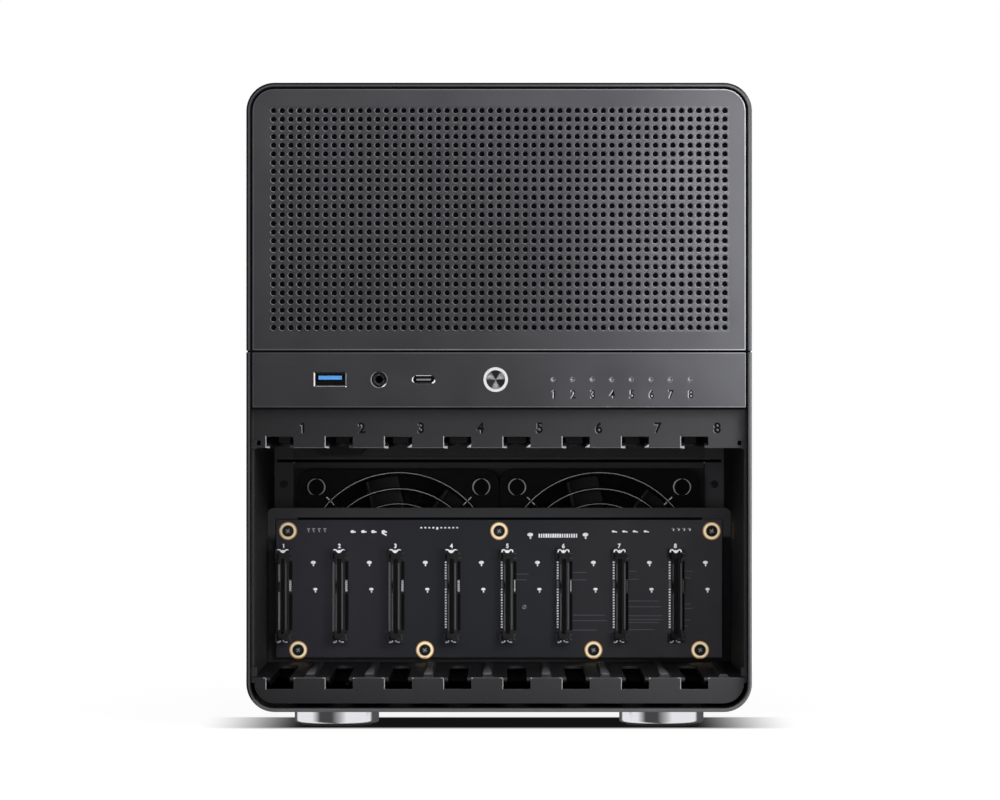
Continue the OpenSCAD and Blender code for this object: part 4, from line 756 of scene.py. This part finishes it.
def digit(name, text, x, y, z, size, material, deep, width, bold):
    """A plain number on a front face, its middle at (x, z) in millimetres."""
    if text == "1":
        bm = bmesh.new()
        outline = [(px * size + math.copysign(bold, px - 0.01), pz * size) for px, pz in ONE]
        add_plate(bm, x, y, z, outline, deep)
        piece(name, mesh_of(bm, name), material)
        return
    curve = bpy.data.curves.new(name, "FONT")
    curve.body = text
    curve.size = size * MM / 0.73
    curve.align_x = "CENTER"
    curve.align_y = "CENTER"
    curve.extrude = deep * MM / 2
    curve.offset = bold * MM
    curve.resolution_u = 4
    obj = bpy.data.objects.new(name, curve)
    bpy.context.scene.collection.objects.link(obj)
    obj.rotation_euler = (math.radians(90), 0, 0)
    obj.scale = (width, 1, 1)
    obj.location = (x * MM, y * MM, z * MM)
    bpy.context.view_layer.update()
    mesh = bpy.data.meshes.new_from_object(obj)
    mesh.transform(obj.matrix_world)
    bpy.data.objects.remove(obj)
    bpy.data.curves.remove(curve)
    # The outline's middle goes to the stated place
    xs = [v.co.x for v in mesh.vertices]
    zs = [v.co.z for v in mesh.vertices]
    shift = (x * MM - (min(xs) + max(xs)) / 2, 0, z * MM - (min(zs) + max(zs)) / 2)
    mesh.transform(Matrix.Translation(shift))
    piece(name, mesh, material)


class Batch:
    """Several small shapes of one material that become one piece."""

    def __init__(self, name, material, body="chassis"):
        self.name, self.material, self.body = name, material, body
        self.bm = bmesh.new()

    def done(self):
        piece(self.name, mesh_of(self.bm, self.name), self.material, self.body)


# Engraved numbers: a dark copy painted as shade and a pale copy painted as highlight on the lit flank
engraving_shade = surface("engraving_painted_shade", grey(7), 0.7, mottle=0.2, mottle_scale=400, specular=0.1)
engraving_highlight = surface("engraving_painted_highlight", grey(135, 4), 0.4, mottle=0.15, mottle_scale=700)
# Painted highlights on the tray flanges: the lit flanks of their numbers, the edges of the notches and the
# lower edges of the lands
flange_highlight = surface("flange_painted_highlight", grey(130, 4), 0.4, mottle=0.2, mottle_scale=700)
edge_glint = surface("flange_edge_painted_highlight", grey(74, 4), 0.4, 0.2, mottle=0.3, mottle_scale=500)
# Print, also used for painted glints on the contact tails and screws
print_and_glint = surface("white_print_and_glint", grey(236, 4), 0.5, mottle=0.12, mottle_scale=900)
print_and_glint_dim = surface("grey_print_and_glint", grey(150, 4), 0.5, mottle=0.2, mottle_scale=900)
solder = surface("solder_bright", grey(252), 0.3, 0.05, mottle=0.1, mottle_scale=900)
contact = surface("contact_metal", grey(190, 4), 0.3, 0.4, mottle=0.2, mottle_scale=900)
# Mid greys painted as highlights on the connector rails and towers
rail_grey = surface("rail_painted_highlight", grey(70), 0.45, mottle=0.15, mottle_scale=500)
rail_dark = surface("tower_painted_highlight", grey(54), 0.45, mottle=0.25, mottle_scale=600)
trace = surface("copper_under_mask", linear(78, 77, 84), 0.35, mottle=0.1, mottle_scale=300)
crest_shine = surface("rib_shine", grey(96), 0.5, mottle=0.1, mottle_scale=300, extra=crest_fade)
bead_metal = surface("edge_bead", grey(150), 0.38, 0.9, mottle=0.08, mottle_scale=60, grain=2600,
                     grain_height=0.01, extra=bead_painted_light)
# Black strips that stand for shade in gaps and folds
shade_black = surface("painted_shade_black", grey(5), 0.8, mottle=0.2, mottle_scale=300, specular=0.05)

# Numbers of the lights and of the bays, each an engraving in painted shade with a painted highlight on its
# flank
for i, slot_x in enumerate(SLOTS):
    number = str(i + 1)
    led_x = LED_X + LED_PITCH * i
    digit(f"strip_number_{number}", number, led_x + 0.5, PANEL_Y, STRIP_NUMBER_Z, 3.9, engraving_shade,
          deep=0.14, width=0.84, bold=0.06)
    digit(f"strip_number_highlight_{number}", number, led_x, PANEL_Y, STRIP_NUMBER_Z, 3.9, engraving_highlight,
          deep=0.08, width=0.84, bold=0.06)
    digit(f"bay_number_{number}", number, slot_x + 10.5, FLANGE_Y, 138.9, 4.8, engraving_shade,
          deep=0.14, width=1.0, bold=0.2)
    digit(f"bay_number_highlight_{number}", number, slot_x + 10.15, FLANGE_Y, 138.7, 4.6, flange_highlight,
          deep=0.08, width=1.0, bold=0.1)
    digit(f"board_number_{number}", number, slot_x + CONNECTOR_SHIFT, BOARD_Y, 80.4, 2.1, print_and_glint,
          deep=0.08, width=0.95, bold=0.13)

# Port details on the strip: painted highlights on the port lips, painted shade in the port mouths
lip_highlight_dim = surface("lip_painted_highlight_dim", grey(112), 0.45, 0.1, mottle=0.3, mottle_scale=900, grain=1500,
                  grain_height=0.01)
# Painted highlights: bright lips and crescents at the ports
lips = Batch("port_lip_highlights", lip_highlight)
add_box(lips.bm, USB_A_X - 7.25, PANEL_Y, PORT_Z, 0.65, 0.3, 6.5, top=0.9)
add_box(lips.bm, USB_A_X + 7.3, PANEL_Y, PORT_Z - 3.2, 0.7, 0.3, 0.7, turn=20, top=0.7)
add_arc(lips.bm, JACK_X, PANEL_Y, PORT_Z, 3.6, 0.55, 0.2, -75, -25, taper=0.9)
add_arc(lips.bm, USB_C_X - 3.55, PANEL_Y, PORT_Z, 1.6, 0.6, 0.2, 118, 242, taper=0.7)
add_arc(lips.bm, USB_C_X + 3.55, PANEL_Y, PORT_Z, 1.6, 0.75, 0.2, -85, 5, taper=0.8)
lips.done()
# Dimmer painted highlights on the other lips
lips = Batch("port_lip_highlights_dim", lip_highlight_dim)
add_box(lips.bm, USB_A_X, PANEL_Y, PORT_Z - 3.05, 13.6, 0.25, 0.35, top=0.98)
add_box(lips.bm, USB_A_X + 7.3, PANEL_Y, PORT_Z + 0.3, 0.35, 0.25, 5.6, top=0.98)
add_arc(lips.bm, JACK_X, PANEL_Y, PORT_Z, 3.75, 0.45, 0.2, 110, 290, taper=0.6)
add_arc(lips.bm, JACK_X, PANEL_Y, PORT_Z, 3.75, 0.3, 0.15, -25, 75, taper=0.7)
lips.done()
disc = Batch("jack_face", socket_black)
add_arc(disc.bm, JACK_X, PANEL_Y, PORT_Z, 3.0, 0.9, 0.12, 0, 360)
disc.done()
# Painted shade: black strips inside the port mouths
mouth = Batch("port_mouth_shade", socket_black)
for dx, dz, w, h in ((0, 2.75, 13.6, 0.7), (0, -2.55, 13.6, 0.65), (6.9, 0, 0.5, 5.9), (-6.6, 0, 0.6, 5.9)):
    add_box(mouth.bm, USB_A_X + dx, PANEL_Y, PORT_Z + dz, w, 0.16, h, top=0.98)
add_arc(mouth.bm, USB_C_X - 3.55, PANEL_Y + 0.02, PORT_Z, 1.5, 0.9, 0.12, 90, 270)
add_arc(mouth.bm, USB_C_X + 3.55, PANEL_Y + 0.02, PORT_Z, 1.5, 0.9, 0.12, -90, 90)
for dz in (-1.35, 1.35):
    add_box(mouth.bm, USB_C_X, PANEL_Y + 0.1, PORT_Z + dz, 7.1, 0.16, 0.45, top=0.98)
mouth.done()

# Painted highlights on the cut edges of the tray flanges
glints = Batch("notch_glints", flange_highlight)
edges = Batch("flange_edge_highlights", edge_glint)
for i, slot_x in enumerate(SLOTS):
    left, right = slot_x - NOTCH, slot_x + NOTCH
    add_box(glints.bm, left - 0.15, FLANGE_Y - 0.02, 132.4, 0.4, 0.12, 5.4)
    add_box(glints.bm, left + 0.75, FLANGE_Y - 0.02, 129.95, 1.9, 0.14, 0.75 + 0.1 * (i % 4),
            turn=6, top=0.85)
    if 2 <= i <= 6:
        add_plate(glints.bm, right - 1.0, FLANGE_Y - 0.02, 130.0,
                  [(-1.2, -0.1), (0.9, -0.1), (0.95, 1.3), (0.2, 1.0), (-0.3, 0.4)], 0.14)
    add_box(glints.bm, left - 0.15, FLANGE_Y - 0.02, 20.7, 0.32, 0.12, 5.4)
    add_box(glints.bm, left - 0.7, FLANGE_Y - 0.02, 23.25, 1.4, 0.12, 0.35)
    add_dome(glints.bm, right + 0.35, FLANGE_Y, 23.1, 0.7, 0.7, 0.15)
    land = min(slot_x + BAY_PITCH - NOTCH, 112.8)
    add_box(edges.bm, (right + land) / 2, FLANGE_Y - 0.01, 23.25, land - right - 0.6, 0.1, 0.28)
    if i < 7:
        add_box(edges.bm, (right + land) / 2, FLANGE_Y - 0.01, 129.75, land - right - 0.4, 0.1, 0.25)
glints.done()
edges.done()

# Backplane bracket: painted shadow, a black strip in the gap above the board
gap_shadow = Batch("bracket_gap_shadow", shade_black)
add_box(gap_shadow.bm, 0.25, 33.96, 93.75, 197.8, 0.12, 1.25, top=0.999)
gap_shadow.done()

# Drive connectors: rails, contact tails, towers, latch and clips, with painted highlights and black painted
# shade
crown_plain = [(-3.0, 0.2), (-2.4, 0.95), (-1.45, 0.85), (-0.6, 0.3), (0, 0.55), (0.6, 0.3), (1.45, 0.85),
               (2.4, 0.95), (3.05, 0.2), (2.3, 0.45), (1.55, 0.15), (0.8, -0.8), (0, -1.1), (-0.8, -0.8),
               (-1.55, 0.15), (-2.3, 0.45)]
crown_curled = [(-3.0, -0.6), (-2.75, 0.6), (-1.75, 1.0), (-0.7, 0.3), (0, 0.6), (0.7, 0.3), (1.75, 1.0),
                (2.75, 0.6), (3.0, -0.6), (2.4, -0.7), (2.15, 0.3), (1.45, 0.2), (0.8, -0.8), (0, -1.1),
                (-0.8, -0.8), (-1.45, 0.2), (-2.15, 0.3), (-2.4, -0.7)]
# Contact tails dimmed as painted shade
tail_dim = surface("contact_painted_shade", grey(104), 0.45, 0.1, mottle=0.25, mottle_scale=900)
clips = Batch("connector_clips", print_and_glint)
tails = Batch("connector_tails", print_and_glint)
tails_dim = Batch("connector_tails_dim", tail_dim)
rails = Batch("connector_rails", rail_grey)
towers = Batch("connector_towers", rail_dark)
# Painted shade: black strips beside and between the connector parts
shades = Batch("connector_shades", socket_black)
latches = Batch("connector_latches", contact)
for i, slot_x in enumerate(SLOTS):
    c = slot_x + CONNECTOR_SHIFT
    add_plate(clips.bm, c, TOWER_Y, 78.1, crown_plain if i < 4 else crown_curled, 0.25)
    add_dome(latches.bm, c - 2.4, TOWER_Y, 33.5, 1.1, 0.8, 0.25)
    add_box(latches.bm, c - 1.4, TOWER_Y, 33.9, 0.5, 0.2, 1.1, turn=30)
    add_dome(latches.bm, c + 1.6, TOWER_Y, 33.6, 1.7, 0.7, 0.25)
    add_box(latches.bm, c + 0.4, TOWER_Y, 34.1, 0.5, 0.2, 0.8, turn=-35)
    # Left column: contact tails, painted bright as glints from the fourth connector on; on the first three
    # they are dimmer, as painted shade, with black painted shade between them on the second and third
    if i < 1:
        add_box(tails_dim.bm, c - 1.75, CONNECTOR_Y, 67.4, 0.95, 0.3, 9.0, top=0.9)
        add_box(tails_dim.bm, c - 1.75, CONNECTOR_Y, 48.9, 0.95, 0.3, 19.4, top=0.9)
    elif i < 3:
        add_box(tails_dim.bm, c - 2.75, BOARD_Y - 0.2, 55.5, 1.15, 0.5, 34.2, top=0.9)
        for k in range(26):
            add_box(shades.bm, c - 2.35, BOARD_Y - 0.5, 39.2 + 1.32 * k, 0.3, 0.14, 0.6)
    else:
        for start, count in ((72.4, 7), (59.1, 15)):
            for k in range(count):
                add_box(tails.bm, c - 2.75, BOARD_Y - 0.25, start - 1.32 * k, 0.95, 0.5, 0.8, top=0.8)
        add_box(tails_dim.bm, c - 2.7, BOARD_Y - 0.2, 61.7, 0.8, 0.4, 3.6, top=0.9)
    # Left rail with its break, and the right rail: pale strips painted as highlights on the connector's
    # edges, with painted shade in the break
    left = c - 1.35
    right = c + 1.45 + 0.17 * i
    if i:
        add_box(rails.bm, left, CONNECTOR_Y, 67.6, 0.6, 0.24, 9.2, top=0.8)
        add_box(rails.bm, left, CONNECTOR_Y, 48.4, 0.6, 0.24, 20.4, top=0.8)
        add_box(shades.bm, left, CONNECTOR_Y, 61.0, 0.9, 0.3, 2.8, top=0.8)
    add_box(rails.bm, right, CONNECTOR_Y, 56.0, 0.95, 0.3, 37.0, top=0.75)
    # Painted shade beside the connector body
    add_box(shades.bm, c + 3.7, BOARD_Y - 0.06, 66.9, 1.5, 0.12, 12.0)
    add_box(shades.bm, c + 3.7, BOARD_Y - 0.06, 48.0, 1.5, 0.12, 18.0)
    # Towers: a raised block and ticks above, an eyelet below, painted as highlights beside black painted
    # shade
    add_box(towers.bm, c + 1.3, TOWER_Y, 75.8, 2.6, 0.5, 2.2, top=0.75)
    add_box(shades.bm, c - 1.6, TOWER_Y, 75.6, 2.6, 0.2, 2.4)
    for dz in (76.9, 74.6):
        add_box(rails.bm, c + 3.9, TOWER_Y, dz, 1.5, 0.3, 0.35)
    add_arc(rails.bm, c + 1.6, TOWER_Y, 36.1, 1.05, 0.4, 0.3, 0, 360, steps=20)
    add_box(shades.bm, c - 1.7, TOWER_Y, 35.9, 2.4, 0.2, 2.2)
    add_box(towers.bm, c + 3.3, TOWER_Y, 36.0, 0.5, 0.3, 3.0)
    for dz in (37.3, 34.8):
        add_box(rails.bm, c + 3.9, TOWER_Y, dz, 1.1, 0.3, 0.3)
    # Latch on the right, with lines of painted shade across it on the first four
    latch = latches if i < 6 else rails
    add_box(latch.bm, c + 3.6, TOWER_Y, 61.1, 1.1 if i < 4 else 0.5, 0.3, 5.7, top=0.9)
    if i < 4:
        for k in range(5):
            add_box(shades.bm, c + 3.6, TOWER_Y - 0.2, 59.1 + k, 1.0, 0.06, 0.22)
for batch in (clips, tails, tails_dim, rails, towers, shades, latches):
    batch.done()

# Board: solder points, their near-white colour partly tin and partly a painted glint; printed dots and
# strokes, tracks under the mask
points = Batch("solder_points", solder)
for i in range(8):
    add_solder(points.bm, -91.0 + SOLDER_PITCH * i, 72.0, 2.5)
    add_solder(points.bm, -90.0 + SOLDER_PITCH * i, 58.9, 2.2)
add_solder(points.bm, 15.2, 85.6, 2.9)
add_solder(points.bm, 42.2, 85.6, 2.9)
points.done()

dice = random.Random(11)
marks = Batch("board_marks", print_and_glint)
marks_dim = Batch("board_marks_dim", print_and_glint_dim)
for x in (-93.4, -90.9, -88.2, -85.4):
    add_box(marks_dim.bm, x, BOARD_Y, 88.1, 0.55, 0.12, 2.0, turn=-18)
    add_box(marks_dim.bm, x + 0.4, BOARD_Y, 88.8, 0.9, 0.12, 0.5)
for x in (-71.8, -66.6, -61.7, -56.6):
    add_dome(marks.bm, x, BOARD_Y, 87.4, 2.0, 1.5, 0.1)
    add_box(marks.bm, x + 1.1, BOARD_Y, 87.2, 1.1, 0.12, 0.6)
add_box(marks.bm, -56.3, BOARD_Y, 86.2, 2.6, 0.12, 0.7, turn=30)
for k in range(10):
    tall = 1.5 if k == 4 else 0.9
    add_box(marks.bm, -38.1 + 1.95 * k, BOARD_Y, 89.3 - (tall - 0.9) / 2, 1.15, 0.12, tall,
            turn=dice.uniform(-20, 20), top=0.6)
for k in range(17):
    add_box(marks.bm, 19.6 + 1.14 * k, BOARD_Y, 85.4, 0.62 + 0.3 * dice.random(), 0.12, 1.9)
for x in (56.4, 61.5, 66.6, 72.0):
    add_dome(marks.bm, x - 0.5, BOARD_Y, 87.5, 1.6, 1.1, 0.1)
    add_box(marks.bm, x + 0.6, BOARD_Y, 87.3, 1.4, 0.12, 0.6, turn=12)
for x in (85.1, 87.7, 90.4, 93.1):
    add_box(marks.bm, x + 0.3, BOARD_Y, 88.3, 0.6, 0.12, 1.3, turn=25, top=0.7)
    add_box(marks_dim.bm, x - 0.3, BOARD_Y, 88.9, 0.9, 0.12, 0.5, turn=-20)
add_arc(marks_dim.bm, 12.3, BOARD_Y, 50.5, 0.9, 0.25, 0.1, 0, 360, steps=16)
add_box(marks_dim.bm, 12.3, BOARD_Y, 50.5, 0.25, 0.1, 2.2, turn=35)
marks.done()
marks_dim.done()

tracks = Batch("board_tracks", trace)
for c, rows in ((-0.2, ((66.6, 8), (63.8, 7))),
                (27.2, ((67.4, 9), (63.8, 9), (46.5, 18), (43.8, 19), (39.2, 14))),
                (54.6, ((68.0, 6), (64.0, 7), (53.4, 17), (50.6, 18), (46.2, 19), (44.3, 19), (42.9, 17),
                        (39.4, 15))),
                (82.0, ((68.0, 6), (64.8, 5), (52.0, 5), (49.8, 6), (44.0, 5), (41.2, 4)))):
    for z, length in rows:
        add_box(tracks.bm, c + 8.4 + length / 2 - 1.8, BOARD_Y, z, length, 0.08, 0.32, top=0.98)
tracks.done()

# Ribs of the lower tray: painted highlights on their crests, brightest toward the front
crests = Batch("rib_crest_highlights", crest_shine)
for slot_x in SLOTS[:-1]:
    x = slot_x + BAY_PITCH / 2
    front = [crests.bm.verts.new(Vector((x + dx, -113.0, RIB_TOP_Z + dz)) * MM)
             for dx, dz in ((-2.2, 0), (0, 0.25), (2.2, 0))]
    back = [crests.bm.verts.new(Vector((x + dx, 4.0, RIB_TOP_Z + dz)) * MM)
            for dx, dz in ((-0.6, 0), (0, 0.2), (0.6, 0))]
    crests.bm.faces.new(front)
    crests.bm.faces.new(back[::-1])
    for j, k in ((0, 1), (1, 2), (2, 0)):
        crests.bm.faces.new((front[j], front[k], back[k], back[j]))
crests.done()

# Screws of the backplane: a painted crossed glint in each recess; copper-coloured edges of the gold rings
crosses = Batch("screw_glints", print_and_glint_dim)
copper = surface("ring_copper", linear(198, 134, 76), 0.4, 0.1, mottle=0.2, mottle_scale=500)
copper_rims = Batch("pad_rims", copper)
board_screws = [(s * BOARD_HALF, UPPER_SCREW_Z) for s in (-0.947, 0, 0.953)]
board_screws += [(s * BOARD_HALF, LOWER_SCREW_Z) for s in (-0.901, -0.333, 0.423, 0.901)]
for x, z in board_screws:
    for turn in (35, 125):
        add_box(crosses.bm, x, SCREW_Y - 0.1, z, 2.4, 0.16, 0.5, turn=turn, top=0.8)
    add_arc(crosses.bm, x, SCREW_Y, z, 1.75, 0.25, 0.1, 60, 250, taper=0.8)
    add_arc(copper_rims.bm, x, PAD_Y, z, 4.15, 0.5, 0.06, 0, 360, steps=40)
    add_arc(copper_rims.bm, x, PAD_Y, z, 2.75, 0.34, 0.06, 0, 360, steps=32)
crosses.done()
copper_rims.done()

# Painted highlights on the fan guards' wires
for name, sign in (("left", -1), ("right", 1)):
    gleam = Batch(f"guard_gleam_{name}", wire_glint, "rear_door")
    x = sign * FAN_X
    for share in (0.97, 0.808, 0.658, 0.5, 0.33, 0.17):
        add_arc(gleam.bm, x, GUARD_Y, FAN_Z, share * GUARD_R, 0.42, 0.06, 0, 360, steps=96)
    for sx in (-1, 1):
        for sz in (-1, 1):
            cx, cz = x + sx * FAN_HOLE, FAN_Z + sz * FAN_HOLE
            add_arc(gleam.bm, cx, GUARD_Y + 1.2, cz, 4.15, 0.75, 0.1, 92, 250, taper=0.7)
            add_arc(gleam.bm, cx, GUARD_Y + 1.2, cz, 4.15, 0.75, 0.1, -70, 80, taper=0.7)
            add_box(gleam.bm, x + sx * 34.6, GUARD_Y + 1.15, FAN_Z + sz * 34.6, 4.4, 0.1, 0.36,
                    turn=45 * sx * sz)
            add_box(gleam.bm, x + sx * 34.3, GUARD_Y + 1.15, FAN_Z + sz * 34.3, 5.6, 0.1, 0.6,
                    turn=-45 * sx * sz)
    gleam.done()

# Painted shade: black strips in the split between the shells
for name, sign in (("left", -1), ("right", 1)):
    shade_strip = Batch(f"shell_split_shade_{name}", shade_black)
    for k in range(8):
        add_box(shade_strip.bm, sign * 115.4, -112.0 + 32.5 * k, 174.2, 1.5, 30.0, 0.64, top=0.96)
    shade_strip.done()

# Painted shade as black strips round the panel and the strip, and a painted highlight on the break of their
# edges
shade_strip = Batch("front_gap_shade", shade_black)
bead = Batch("front_edge_highlights", bead_metal)
for low, high, r, back, reach, line in ((174.6, 295.3, 10.3, 0.6, 0.68, 0.42),
                                        (148.3, 173.8, 0.3, 0.63, 0.95, 0.2)):
    add_ring(shade_strip.bm, PANEL_Y + back, PANEL_HALF, low, high, r, -0.2, reach, 0.64)
    add_ring(bead.bm, PANEL_Y + 0.02, PANEL_HALF, low, high, r, -0.2 - line, -0.2, 0.06)
shade_strip.done()
bead.done()

# Folded seam between the rear wall and the fan door: a black strip as painted shade in the fold, and a
# paler strip as a painted highlight on its edge
seam = Batch("rear_seam", shade_black)
add_box(seam.bm, 0, SEAM_Y, 121.05, 224.0, 0.12, 1.5)
seam.done()
seam = Batch("rear_seam_highlight", rail_dark)
add_box(seam.bm, 0, SEAM_Y, 122.2, 224.0, 0.12, 0.3)
seam.done()
